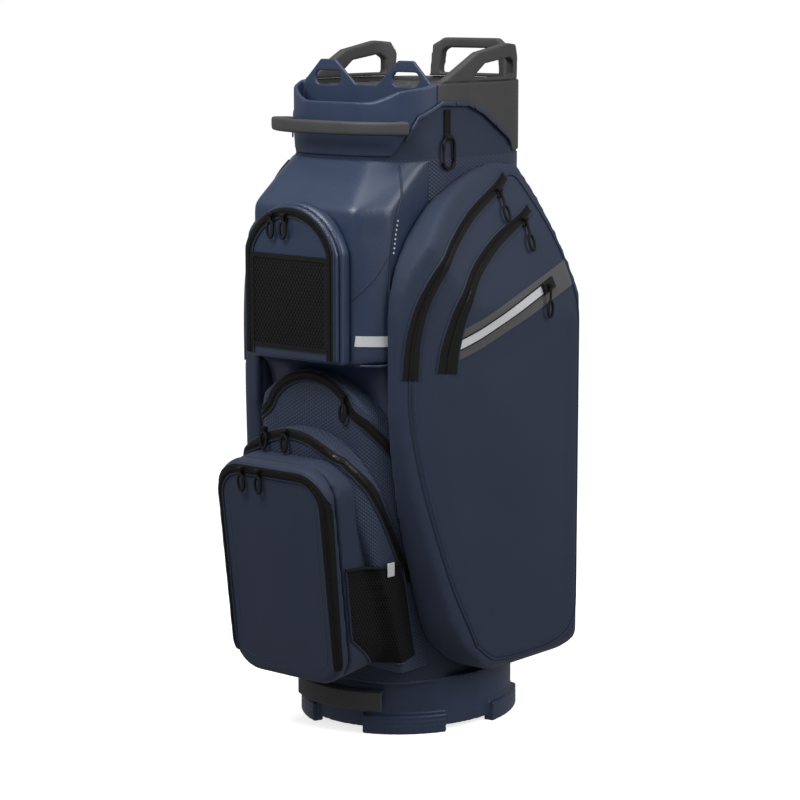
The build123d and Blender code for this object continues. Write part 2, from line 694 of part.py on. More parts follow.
side_places = {"slanted": ((flat_side_x(SLANT_Y), SLANT_Y, SLANT_Z), right)}
for name, y, z in (("apparel_outer", 10, 716), ("apparel_inner", 48, 676)):
    x, normal = shoulder_face(z)
    side_places[name] = ((x, y, z), normal)
for name, (point, normal) in side_places.items():
    zip_pair(name + "_right", on_face(point, normal, (0, 1, 0)), SIDE_STEM)
    flip_point = (-point[0], point[1], point[2])
    flip_normal = (-normal[0], normal[1], normal[2])
    zip_pair(name + "_left", on_face(flip_point, flip_normal, (0, -1, 0)), SIDE_STEM)


def slanted_band():
    """Welded band round the slanted zip, wrapped over the side panel."""
    band = outline((-128, 503), (-131, 538), (52, 608), (104, 622), (122, 582), (66, 562))
    ring = offset(side_plan(), GAP / 2 + TAPE) - offset(side_plan(), GAP / 2)
    return across(band, 140, 230) & column(ring, 480, 640)


keep("slanted_zip_bands", slanted_band(), mirrored(slanted_band()))


# ---- towel clip ------------------------------------------------------------


def clip_webbing():
    """Strap on the shell's tab with a sewn eye that the hook swings in."""
    face = TUBE_HALF_X + GAP
    tall = WEB_TOP - CLIP_PIN_Z
    strap = Pos(face + 1, CLIP_Y, CLIP_PIN_Z + tall / 2) * Box(2, WEB_WIDE, tall)
    eye = Pos(CLIP_X, CLIP_Y, CLIP_PIN_Z) * Rot(90, 0, 0) * Cylinder(3.4, WEB_WIDE)
    hole = Pos(CLIP_X, CLIP_Y, CLIP_PIN_Z) * Rot(90, 0, 0) * Cylinder(CLIP_PIN_R + PIN_CLEAR, 40)
    return strap + eye - hole


def clip_frame():
    centre = Pos(CLIP_Y, CLIP_PIN_Z + 2 - CLIP_TALL / 2)
    corner = CLIP_WIDE / 2 - 1
    ring = RectangleRounded(CLIP_WIDE, CLIP_TALL, corner)
    ring -= RectangleRounded(CLIP_WIDE - 2 * CLIP_WALL, CLIP_TALL - 2 * CLIP_WALL,
                             corner - CLIP_WALL)
    return across(centre * ring, CLIP_X - CLIP_THICK / 2, CLIP_X + CLIP_THICK / 2)


gate_y = CLIP_Y - CLIP_WIDE / 2 + 2
gate_zone = Pos(CLIP_X, gate_y, GATE_TOP - GATE_LONG / 2) * Box(10, 6, GATE_LONG)
gate_pin = Pos(CLIP_X, gate_y, GATE_TOP - 2.2) * Rot(0, 90, 0)


def clip_hook():
    eye_zone = Pos(CLIP_X, CLIP_Y, CLIP_PIN_Z) * Box(12, WEB_WIDE + 1, 12)
    pin = Pos(CLIP_X, CLIP_Y, CLIP_PIN_Z) * Rot(90, 0, 0) * Cylinder(CLIP_PIN_R, WEB_WIDE + 2)
    cheeks = [Pos(CLIP_X + s * 1.25, gate_y, GATE_TOP - 1.5) * Box(0.5, 4, 9) for s in (-1, 1)]
    frame = clip_frame() - eye_zone - gate_zone + pin + cheeks[0] + cheeks[1]
    return frame + gate_pin * Cylinder(PIN_R, CLIP_THICK)


def clip_gate():
    long = GATE_LONG - GATE_CLEAR - GAP
    bar = Pos(CLIP_X, gate_y, GATE_TOP - GATE_CLEAR - long / 2) * Box(1.6, 3.4, long)
    return bar - gate_pin * Cylinder(PIN_R + PIN_CLEAR, 6)


keep("clip_webbing", clip_webbing())
keep("clip_hook", clip_hook())
keep("clip_gate", clip_gate())


# ---- placing ---------------------------------------------------------------
# The origin is on the ground under the middle of the bag's outer box.
whole = Compound(children=[s for shape in parts.values() for s in solids_of(shape)])
box = whole.bounding_box()
shift_y = -(box.min.Y + box.max.Y) / 2
os.makedirs("parts", exist_ok=True)
for name, shape in parts.items():
    export_step(Pos(0, shift_y, 0) * shape, f"parts/{name}.step")
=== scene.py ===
"""Golf cart bag: soft goods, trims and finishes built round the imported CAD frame."""

from math import atan2, cos, pi, radians, sin, sqrt

import bmesh
import bpy
import numpy as np
from bpy.props import FloatProperty, FloatVectorProperty, PointerProperty
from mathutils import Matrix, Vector
from mathutils.bvhtree import BVHTree
from mathutils.kdtree import KDTree


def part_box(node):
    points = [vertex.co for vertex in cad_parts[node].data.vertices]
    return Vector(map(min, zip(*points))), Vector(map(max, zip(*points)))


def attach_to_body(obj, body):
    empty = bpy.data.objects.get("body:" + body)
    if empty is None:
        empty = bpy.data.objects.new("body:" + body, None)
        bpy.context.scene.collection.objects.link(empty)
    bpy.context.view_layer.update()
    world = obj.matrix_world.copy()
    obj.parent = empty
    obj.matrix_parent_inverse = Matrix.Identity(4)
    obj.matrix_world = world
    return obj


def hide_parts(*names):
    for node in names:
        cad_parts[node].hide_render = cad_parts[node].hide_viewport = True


bl_info = {
    "name": "Golf cart bag",
    "version": (1, 0, 0),
    "blender": (4, 5, 0),
    "location": "View3D > Sidebar > Cart bag",
    "description": "Builds the fabric, zips, trims and finishes of a golf cart bag",
    "category": "Object",
}

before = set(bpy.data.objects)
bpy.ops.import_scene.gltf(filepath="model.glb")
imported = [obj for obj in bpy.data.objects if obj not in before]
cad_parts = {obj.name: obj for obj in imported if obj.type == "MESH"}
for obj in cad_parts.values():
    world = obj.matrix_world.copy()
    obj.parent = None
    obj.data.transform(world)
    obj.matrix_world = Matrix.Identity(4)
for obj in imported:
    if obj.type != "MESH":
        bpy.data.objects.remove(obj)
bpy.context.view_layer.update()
MM = 0.001

# The bag's own coordinates are millimetres with Y = 0 at the middle of the base oval.
SHELL_LOW, SHELL_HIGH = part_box("body_shell")
TUBE_HALF_X = SHELL_HIGH.x / MM
TUBE_FRONT, TUBE_BACK, TUBE_CORNER = 150.0, 140.0, 88.0
SHIFT_Y = SHELL_LOW.y + TUBE_FRONT * MM


# ---- settings ----------------------------------------------------------------
class CartBagColours(bpy.types.PropertyGroup):
    """Colours of the bag's finishes."""

    navy: FloatVectorProperty(name="Navy", description="Main fabric", subtype="COLOR", size=3,
                              min=0, max=1, default=(0.019, 0.028, 0.054))
    navy_deep: FloatVectorProperty(name="Deep navy", description="Moulded cuff and base",
                                   subtype="COLOR", size=3, min=0, max=1,
                                   default=(0.022, 0.035, 0.072))
    leather: FloatVectorProperty(name="Leatherette", description="Upper front panel",
                                 subtype="COLOR", size=3, min=0, max=1,
                                 default=(0.016, 0.028, 0.062))
    grey: FloatVectorProperty(name="Grey", description="Handles and rear cuff", subtype="COLOR",
                              size=3, min=0, max=1, default=(0.042, 0.042, 0.044))
    black: FloatVectorProperty(name="Black", description="Zips, mesh and pulls", subtype="COLOR",
                               size=3, min=0, max=1, default=(0.0035, 0.0035, 0.004))
    pale: FloatVectorProperty(name="Reflective", description="Reflective trims", subtype="COLOR",
                              size=3, min=0, max=1, default=(0.52, 0.53, 0.55))


class CartBagSizes(bpy.types.PropertyGroup):
    """Sizes of the sewn details."""

    voxel: FloatProperty(name="Cloth grid", description="Mesh size of the fabric panels",
                         default=0.0045, unit="LENGTH")
    zip_width: FloatProperty(name="Zip width", description="Width of a zip's tape",
                             default=0.0105, unit="LENGTH")
    tooth_pitch: FloatProperty(name="Tooth pitch", description="Spacing of the zip's teeth",
                               default=0.0022, unit="LENGTH")
    stitch_pitch: FloatProperty(name="Stitch pitch", description="Spacing of the stitches",
                                default=0.0045, unit="LENGTH")
    piping: FloatProperty(name="Piping", description="Radius of the piping", default=0.0014,
                          unit="LENGTH")
    puff: FloatProperty(name="Puff", description="How far the padded panels may swell",
                        default=0.007, unit="LENGTH")


def colours():
    return bpy.context.scene.cart_bag_colours


def sizes():
    return bpy.context.scene.cart_bag_sizes


# ---- shader expressions --------------------------------------------------------
class Value:
    """A number socket that Python operators turn into Math nodes."""

    def __init__(self, shader, socket):
        self.shader = shader
        self.socket = socket

    def math(self, operation, *others):
        values = {i: other for i, other in enumerate((self,) + others)}
        return self.shader.node("ShaderNodeMath", {"operation": operation}, values)

    def __add__(self, other):
        return self.math("ADD", other)

    __radd__ = __add__

    def __mul__(self, other):
        return self.math("MULTIPLY", other)

    __rmul__ = __mul__

    def __sub__(self, other):
        return self.math("SUBTRACT", other)

    def __rsub__(self, other):
        return self.math("MULTIPLY", -1.0) + other

    def __truediv__(self, other):
        return self.math("DIVIDE", other)

    def sine(self):
        return self.math("SINE")

    def above(self, limit):
        return self.math("GREATER_THAN", limit)


class Shader:
    """A material on the Principled shader, built from expressions."""

    def __init__(self, name):
        self.material = bpy.data.materials.new(name)
        self.material.use_nodes = True
        self.tree = self.material.node_tree
        self.principled = self.tree.nodes["Principled BSDF"]

    def node(self, kind, settings=None, values=None, output=0):
        made = self.tree.nodes.new(kind)
        for name, value in (settings or {}).items():
            setattr(made, name, value)
        for key, value in (values or {}).items():
            if isinstance(value, Value):
                self.tree.links.new(value.socket, made.inputs[key])
            else:
                made.inputs[key].default_value = value
        return Value(self, made.outputs[output])

    def place(self):
        coords = self.node("ShaderNodeTexCoord", output=3)
        split = self.node("ShaderNodeSeparateXYZ", values={0: coords}).socket.node
        return coords, [Value(self, split.outputs[i]) for i in range(3)]

    def noise(self, coords, scale, detail=2.0):
        return self.node("ShaderNodeTexNoise", values={"Vector": coords, "Scale": scale,
                                                       "Detail": detail})

    def cells(self, coords, scale):
        return self.node("ShaderNodeTexVoronoi", values={"Vector": coords, "Scale": scale})

    def blend(self, factor, first, second):
        return self.node("ShaderNodeMix", {"data_type": "RGBA"},
                         {"Factor": factor, 6: (*first, 1), 7: (*second, 1)}, output=2)

    def bump(self, height, strength, distance):
        return self.node("ShaderNodeBump", values={"Height": height, "Strength": strength,
                                                   "Distance": distance})

    def finish(self, colour=None, rough=None, normal=None, alpha=None, **fixed):
        for name, value in (("Base Color", colour), ("Roughness", rough), ("Normal", normal),
                            ("Alpha", alpha)):
            if isinstance(value, Value):
                self.tree.links.new(value.socket, self.principled.inputs[name])
            elif value is not None:
                self.principled.inputs[name].default_value = value
        for name, value in fixed.items():
            self.principled.inputs[name.replace("_", " ")].default_value = value
        return self.material


def shade(colour, factor):
    """The colour made lighter or darker."""
    return tuple(min(1.0, c * factor) for c in colour)


def woven(name, colour, pitch=0.0016, depth=0.35, rough=0.58, sheen=0.06, contrast=1.25):
    """Plain woven cloth: crossing threads, slow colour drift and soft sheen."""
    s = Shader(name)
    coords, (x, y, z) = s.place()
    k = 2 * pi / pitch
    warp = ((x + y) * k + z * k).sine()
    weft = ((x + y) * k - z * k).sine()
    threads = warp * weft * 0.5 + 0.5
    drift = s.noise(coords, 9.0, 3.0)
    fleck = s.noise(coords, 900.0, 1.0)
    mixed = threads * 0.35 + drift * 0.5 + fleck * 0.15
    colour = s.blend(mixed, shade(colour, 1 / contrast), shade(colour, contrast))
    wrinkle = s.noise(coords, 22.0, 3.0)
    height = threads * 0.22 + fleck * 0.15 + wrinkle * 0.9
    return s.finish(colour, fleck * 0.12 + (rough - 0.06), s.bump(height, depth, 0.0016),
                    Sheen_Weight=sheen, Sheen_Roughness=0.5, Specular_IOR_Level=0.22)


def textured_cloth(name, colour):
    """Micro-embossed cloth: a small honeycomb of raised cells."""
    s = Shader(name)
    coords, (x, y, z) = s.place()
    k = 2 * pi / 0.0042
    a = ((x + y) * k).sine()
    b = (((x + y) * 0.5 + z * 0.866) * k).sine()
    c = (((x + y) * 0.5 - z * 0.866) * k).sine()
    cell = (a + b + c) * 0.22 + 0.4
    drift = s.noise(coords, 10.0, 2.0)
    colour = s.blend(cell * 0.7 + drift * 0.3, shade(colour, 0.62), shade(colour, 1.75))
    return s.finish(colour, cell * -0.2 + 0.62, s.bump(cell + drift * 0.6, 0.5, 0.0012),
                    Sheen_Weight=0.05, Specular_IOR_Level=0.3)


def leatherette(name, colour):
    """Coated leatherette: fine pebble grain under a satin coat."""
    s = Shader(name)
    coords, _ = s.place()
    grain = s.cells(coords, 620.0)
    pores = s.noise(coords, 260.0, 3.0)
    sag = s.noise(coords, 12.0, 2.0)
    colour = s.blend(sag, shade(colour, 0.85), shade(colour, 1.2))
    height = grain * 0.35 + pores * 0.25 + sag * 1.2
    return s.finish(colour, pores * 0.16 + 0.30, s.bump(height, 0.28, 0.0014),
                    Specular_IOR_Level=0.55)


def moulded(name, colour, rough=0.48):
    """Moulded plastic with a fine spark-eroded grain and scuffs."""
    s = Shader(name)
    coords, _ = s.place()
    grain = s.noise(coords, 1300.0, 2.0)
    scuff = s.noise(coords, 35.0, 4.0)
    colour = s.blend(scuff, shade(colour, 0.85), shade(colour, 1.18))
    return s.finish(colour, scuff * 0.14 + (rough - 0.07), s.bump(grain, 0.18, 0.0004),
                    Specular_IOR_Level=0.35)


def air_mesh(name, colour):
    """Spacer mesh: rows of small oval holes between knitted ribs, the holes painted near-black as
    painted shade.
    """
    s = Shader(name)
    coords, (x, y, z) = s.place()
    k = 2 * pi / 0.0052
    a = ((x + y) * k).sine()
    b = (z * k * 0.62).sine()
    hole = (a * b).above(0.22)
    rib = (a * b) * -0.5 + 0.5
    fuzz = s.noise(coords, 700.0, 1.0)
    # Painted shade: the holes are painted near-black for the shade inside them; the ribs keep a
    # lighter black.
    colour = s.blend(hole, shade(colour, 2.4), shade(colour, 0.15))
    return s.finish(colour, fuzz * 0.2 + 0.6, s.bump(rib + hole * -0.8, 0.8, 0.0015),
                    Specular_IOR_Level=0.15)


def ribbed_tape(name, colour, pitch=0.0013):
    """Woven zip tape and binding: close ribs with matt thread."""
    s = Shader(name)
    coords, (x, y, z) = s.place()
    k = 2 * pi / pitch
    ribs = ((x + y + z) * k).sine() * 0.5 + 0.5
    fuzz = s.noise(coords, 500.0, 2.0)
    colour = s.blend(ribs * 0.6 + fuzz * 0.4, shade(colour, 0.7), shade(colour, 1.8))
    return s.finish(colour, fuzz * 0.2 + 0.6, s.bump(ribs + fuzz * 0.5, 0.4, 0.0005),
                    Specular_IOR_Level=0.2)


def reflective(name, colour):
    """Glass-bead tape: pale, finely speckled."""
    s = Shader(name)
    coords, _ = s.place()
    beads = s.cells(coords, 1500.0)
    colour = s.blend(beads, shade(colour, 1.15), shade(colour, 0.85))
    return s.finish(colour, beads * 0.2 + 0.3, s.bump(beads, 0.15, 0.0003))


def metal(name, colour, rough):
    """Painted metal, a little worn."""
    s = Shader(name)
    coords, _ = s.place()
    wear = s.noise(coords, 180.0, 4.0)
    colour = s.blend(wear, shade(colour, 0.8), shade(colour, 1.5))
    return s.finish(colour, wear * 0.2 + rough, s.bump(wear, 0.1, 0.0003), Metallic=0.6)


MATERIALS = {}


def make_materials():
    """Fills MATERIALS with every finish of the bag."""
    c = colours()
    grey_cloth = shade(tuple(c.grey), 1.6)
    MATERIALS.update(
        navy=woven("navy_polyester", tuple(c.navy)),
        gusset=textured_cloth("navy_honeycomb", tuple(c.navy)),
        leather=leatherette("navy_leatherette", tuple(c.leather)),
        navy_plastic=moulded("navy_moulded", tuple(c.navy_deep), 0.42),
        grey_plastic=moulded("grey_moulded", tuple(c.grey), 0.55),
        mesh=air_mesh("black_air_mesh", tuple(c.black)),
        tape=ribbed_tape("black_zip_tape", tuple(c.black)),
        piping=woven("navy_piping", shade(tuple(c.navy), 0.8), 0.0012, 0.2, 0.5),
        teeth=moulded("black_teeth", shade(tuple(c.black), 1.6), 0.32),
        thread=ribbed_tape("navy_thread", shade(tuple(c.navy), 1.9), 0.0008),
        pale_thread=ribbed_tape("pale_thread", tuple(c.pale), 0.0008),
        grey_cloth=woven("grey_ripstop", grey_cloth, 0.002, 0.3, 0.6, 0.2, 1.15),
        pale=reflective("reflective_tape", tuple(c.pale)),
        lining=woven("fleece_lining", shade(tuple(c.grey), 0.6), 0.003, 0.7, 0.9, 0.5),
        foam=moulded("floor_foam", shade(tuple(c.grey), 0.5), 0.85),
        rod=moulded("fibreglass", (0.45, 0.44, 0.38), 0.4),
        metal=metal("black_metal", shade(tuple(c.black), 2.0), 0.3),
        cord=ribbed_tape("black_cord", shade(tuple(c.black), 1.4), 0.001),
        screw=metal("screw_head", (0.05, 0.05, 0.055), 0.35),
    )


# ---- mesh helpers ----------------------------------------------------------------
def bag(x, y, z):
    """A point in the bag's own millimetres, in the frame's metres."""
    return Vector((x * MM, y * MM + SHIFT_Y, z * MM))


def new_object(name, mesh, material):
    """Object at the origin with one finish."""
    made = bpy.data.objects.new(name, mesh)
    bpy.context.scene.collection.objects.link(made)
    mesh.materials.clear()
    mesh.materials.append(MATERIALS[material])
    return made


def from_data(name, points, faces, material, smooth=40):
    """Object made from points and faces, its faces turned outward."""
    mesh = bpy.data.meshes.new(name)
    mesh.from_pydata([tuple(p) for p in points], [], faces)
    mesh.validate()
    made = new_object(name, mesh, material)
    outward(mesh)
    soften(mesh, smooth)
    return made


def outward(mesh):
    """Merges double points and turns every face outward."""
    bm = bmesh.new()
    bm.from_mesh(mesh)
    bmesh.ops.remove_doubles(bm, verts=bm.verts, dist=1e-6)
    bmesh.ops.recalc_face_normals(bm, faces=bm.faces)
    bm.to_mesh(mesh)
    bm.free()


def soften(mesh, angle):
    """Shades the mesh smooth, except at edges sharper than the angle in degrees."""
    mesh.polygons.foreach_set("use_smooth", [True] * len(mesh.polygons))
    mesh.set_sharp_from_angle(angle=radians(angle))


def bake_modifiers(obj):
    """Applies every modifier by taking the evaluated mesh."""
    graph = bpy.context.evaluated_depsgraph_get()
    mesh = bpy.data.meshes.new_from_object(obj.evaluated_get(graph))
    obj.modifiers.clear()
    old = obj.data
    obj.data = mesh
    bpy.data.meshes.remove(old)
    return obj


def read_points(mesh):
    values = np.empty(len(mesh.vertices) * 3)
    mesh.vertices.foreach_get("co", values)
    return values.reshape(-1, 3)


def write_points(mesh, points):
    mesh.vertices.foreach_set("co", points.ravel())
    mesh.update()


def relax(mesh, rounds, factor=0.5):
    """Evens out the grid, which rounds every edge of a remeshed block."""
    points = read_points(mesh)
    edges = np.empty(len(mesh.edges) * 2, dtype=np.int32)
    mesh.edges.foreach_get("vertices", edges)
    a, b = edges.reshape(-1, 2).T
    count = np.bincount(np.r_[a, b], minlength=len(points))[:, None]
    for _ in range(rounds):
        total = np.stack([np.bincount(np.r_[a, b], np.r_[points[b, i], points[a, i]],
                                      minlength=len(points)) for i in range(3)], 1)
        points += factor * (total / np.maximum(count, 1) - points)
    write_points(mesh, points)


def hull_of(name, points, material):
    """Closed convex block round a few points."""
    bm = bmesh.new()
    for p in points:
        bm.verts.new(p)
    made = bmesh.ops.convex_hull(bm, input=bm.verts)
    bmesh.ops.delete(bm, geom=[v for v in made["geom_interior"] if isinstance(v, bmesh.types.BMVert)],
                     context="VERTS")
    bmesh.ops.recalc_face_normals(bm, faces=bm.faces)
    mesh = bpy.data.meshes.new(name)
    bm.to_mesh(mesh)
    bm.free()
    return new_object(name, mesh, material)


def cad_points(node, low=-1.0, high=2.0):
    """Corners of a CAD node after cutting it to a band of heights."""
    bm = bmesh.new()
    bm.from_mesh(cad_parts[node].data)
    for z, clear in ((low, "clear_inner"), (high, "clear_outer")):
        bmesh.ops.bisect_plane(bm, geom=bm.verts[:] + bm.edges[:] + bm.faces[:],
                               plane_co=(0, 0, z), plane_no=(0, 0, 1), **{clear: True})
    points = [v.co.copy() for v in bm.verts]
    bm.free()
    return points


def joined(name, pieces, material):
    """One object from several, with their meshes together."""
    bm = bmesh.new()
    for piece in pieces:
        bm.from_mesh(piece.data)
        bpy.data.objects.remove(piece)
    mesh = bpy.data.meshes.new(name)
    bm.to_mesh(mesh)
    bm.free()
    return new_object(name, mesh, material)


def remeshed(obj, voxel):
    """Turns a block's surface into an even grid."""
    block = obj.modifiers.new("grid", "REMESH")
    block.mode = "VOXEL"
    block.voxel_size = voxel
    return bake_modifiers(obj)


def inflate(obj, free, pressure=4.0, cap=None):
    """Swells the panels by cloth simulation; free says how loose each point is."""
    cap = cap or sizes().puff
    rest = read_points(obj.data).copy()
    pins = obj.vertex_groups.new(name="pins")
    hold = 1 - np.clip(free, 0, 1)
    for level in np.unique(np.round(hold, 1)):
        if level > 0:
            pins.add(np.where(np.round(hold, 1) == level)[0].tolist(), float(level), "REPLACE")
    cloth = obj.modifiers.new("cloth", "CLOTH")
    cloth.settings.quality = 5
    cloth.settings.use_pressure = True
    cloth.settings.uniform_pressure_force = pressure
    cloth.settings.vertex_group_mass = "pins"
    cloth.settings.tension_stiffness = 25
    cloth.settings.compression_stiffness = 25
    cloth.settings.bending_stiffness = 1.5
    cloth.settings.effector_weights.gravity = 0
    cloth.collision_settings.use_collision = False
    cloth.point_cache.frame_start = 1
    cloth.point_cache.frame_end = 20
    for step in range(1, 21):
        bpy.context.scene.frame_set(step)
    bake_modifiers(obj)
    obj.vertex_groups.clear()
    moved = read_points(obj.data) - rest
    reach = np.linalg.norm(moved, axis=1, keepdims=True)
    limit = cap * np.clip(free, 0, 1)[:, None]
    write_points(obj.data, rest + moved * np.minimum(1, limit / np.maximum(reach, 1e-9)))
    bpy.context.scene.frame_set(1)
    return obj


def from_line(points, line):
    """Distance of each 2-D point from a broken line."""
    best = np.full(len(points), 1e9)
    for a, b in zip(line[:-1], line[1:]):
        a, b = np.array(a, float), np.array(b, float)
        t = np.clip(((points - a) @ (b - a)) / max(((b - a) ** 2).sum(), 1e-12), 0, 1)
        best = np.minimum(best, np.linalg.norm(points - (a + t[:, None] * (b - a)), axis=1))
    return best


def groove(mesh, line, plane, width, depth):
    """Presses a sewn seam into a panel along a line drawn in a plane ("YZ" or "XZ")."""
    points = read_points(mesh)
    normals = np.empty(len(mesh.vertices) * 3)
    mesh.vertices.foreach_get("normal", normals)
    normals = normals.reshape(-1, 3)
    seen = points[:, [1, 2]] if plane == "YZ" else points[:, [0, 2]]
    dip = np.exp(-(from_line(seen, line) / width) ** 2) * depth
    write_points(mesh, points - normals * dip[:, None])


def attach(obj, body, slot, *replaced, pad=None):
    """Fixes a piece to its body and hides the CAD nodes it stands for; its slot and its filling are
    not used.
    """
    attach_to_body(obj, body)
    if replaced:
        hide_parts(*replaced)
    return obj


def slab_faces(columns, rows):
    """Faces of two stacked grids of points, joined round their rim."""
    wide = columns + 1
    size = (rows + 1) * wide
    faces = []
    for side in (0, 1):
        for j in range(rows):
            for i in range(columns):
                a = side * size + j * wide + i
                faces.append([a, a + 1, a + wide + 1, a + wide])
    rim = (list(range(wide)) + [j * wide + columns for j in range(1, rows + 1)]
           + [rows * wide + i for i in range(columns - 1, -1, -1)]
           + [j * wide for j in range(rows - 1, 0, -1)])
    return faces + [[a, b, size + b, size + a] for a, b in zip(rim, rim[1:] + rim[:1])]


def ring_faces(count, per, closed=False):
    """Faces of a strip swept through rings of points, capped where it ends."""
    faces = []
    for i in range(count if closed else count - 1):
        j = (i + 1) % count
        for k in range(per):
            m = (k + 1) % per
            faces.append([i * per + k, i * per + m, j * per + m, j * per + k])
    if not closed:
        faces += [list(range(per)), list(range((count - 1) * per, count * per))]
    return faces


def sideways(line, closed=False):
    """Unit vectors across a flat line, one for each of its points."""
    tangent = np.roll(line, -1, 0) - np.roll(line, 1, 0) if closed else np.gradient(line, axis=0)
    tangent = tangent / np.linalg.norm(tangent, axis=1, keepdims=True)
    return np.stack([-tangent[:, 1], tangent[:, 0]], 1)


# ---- bands, piping, teeth and stitches ----------------------------------------
def dense(line, step=0.003, closed=False):
    """Evenly spaced points along a smooth curve through a few points."""
    pts = [np.array(p, float) for p in line]
    if closed:
        pts = pts + pts[:1]
    fine = []
    for i in range(len(pts) - 1):
        before = pts[i - 1] if i else (pts[-2] if closed else 2 * pts[0] - pts[1])
        after = pts[i + 2] if i + 2 < len(pts) else (pts[1] if closed else 2 * pts[-1] - pts[-2])
        a, b = pts[i], pts[i + 1]
        for t in np.linspace(0, 1, 24, endpoint=False):
            fine.append(0.5 * (2 * a + (b - before) * t + (2 * before - 5 * a + 4 * b - after) * t * t
                               + (3 * a - before - 3 * b + after) * t ** 3))
    fine.append(pts[-1])
    fine = np.array(fine)
    run = np.r_[0, np.cumsum(np.linalg.norm(np.diff(fine, axis=0), axis=1))]
    count = max(2, int(round(run[-1] / step)) + 1)
    want = np.linspace(0, run[-1], count)
    return np.stack([np.interp(want, run, fine[:, i]) for i in range(fine.shape[1])], 1)


class Face:
    """A surface that flat patterns are laid on, seen along one axis."""

    def __init__(self, objects, plane, sign):
        graph = bpy.context.evaluated_depsgraph_get()
        points, faces = [], []
        for obj in objects:
            mesh = obj.evaluated_get(graph).data
            base = len(points)
            points += [v.co.copy() for v in mesh.vertices]
            faces += [[base + i for i in p.vertices] for p in mesh.polygons]
        self.tree = BVHTree.FromPolygons(points, faces)
        self.plane = plane
        self.sign = sign

    def on(self, uv, lift=0.0):
        """Point and normal of the surface under a flat point."""
        far = 1.0 * self.sign
        if self.plane == "YZ":
            start, way = Vector((far, uv[0], uv[1])), Vector((-self.sign, 0, 0))
        else:
            start, way = Vector((uv[0], far, uv[1])), Vector((0, -self.sign, 0))
        point, normal, _, _ = self.tree.ray_cast(start, way)
        if point is None:
            return None
        return point + normal * lift, normal


def lay(surface, line, offsets, lift, closed=False):
    """Surface points across a flat line: one row of them for each of its points."""
    line = np.array(line)
    rows = [[surface.on(p + n * offset, lift) for offset in offsets]
            for p, n in zip(line, sideways(line, closed))]
    last = None
    for row in rows:
        for k, hit in enumerate(row):
            if hit is None:
                row[k] = last[k] if last else next((r[k] for r in rows if r[k]), None)
        last = row
    return rows


def band(name, surface, line, width, material, lift=0.0006, thick=0.0012, ribs=5, closed=False):
    """Strip of tape or webbing laid flat along a line; a pair of widths makes it flare."""
    if isinstance(width, tuple):
        return flared(name, surface, line, width, material, lift, thick, ribs)
    offsets = np.linspace(-width / 2, width / 2, ribs)
    rows = lay(surface, line, offsets, lift + thick, closed)
    under = lay(surface, line, offsets[[0, -1]], -0.0004, closed)
    points = []
    for row, low in zip(rows, under):
        points += [low[0][0]] + [hit[0] for hit in row] + [low[1][0]]
    return from_data(name, points, ring_faces(len(rows), ribs + 2, closed), material)


def flared(name, surface, line, width, material, lift, thick, ribs):
    """Strip whose width changes evenly from one end to the other."""
    line = np.array(line)
    points = []
    for i, (p, n) in enumerate(zip(line, sideways(line))):
        share = i / (len(line) - 1)
        wide = width[0] * (1 - share) + width[1] * share
        row = []
        for k in range(ribs + 2):
            at = min(max(k - 1, 0), ribs - 1) / (ribs - 1) - 0.5
            hit = surface.on(p + n * at * wide, -0.0004 if k in (0, ribs + 1) else lift + thick)
            row.append(hit[0] if hit else (row[-1] if row else points[-ribs - 2]))
        points += row
    return from_data(name, points, ring_faces(len(line), ribs + 2), material)


def tube(name, path, radius, material, closed=False, sides=8):
    """Round piping through 3-D points."""
    path = [Vector(p) for p in path]
    count = len(path)
    points = []
    side = None
    for i, p in enumerate(path):
        after = path[(i + 1) % count] if closed or i + 1 < count else p
        before = path[i - 1] if closed or i else p
        ahead = (after - before).normalized()
        if side is None:
            side = ahead.cross(Vector((0.1, 0.2, 1))).normalized()
        side = (side - ahead * side.dot(ahead)).normalized()
        up = ahead.cross(side)
        for k in range(sides):
            a = 2 * pi * k / sides
            points.append(p + side * cos(a) * radius + up * sin(a) * radius)
    return from_data(name, points, ring_faces(count, sides, closed), material, 80)


def piping_on(name, surface, line, radius, material="piping", closed=False):
    """Round piping half sunk in a surface along a flat line."""
    hits = [row[0] for row in lay(surface, line, [0.0], radius * 0.45, closed)]
    return tube(name, [h[0] for h in hits if h], radius, material, closed)


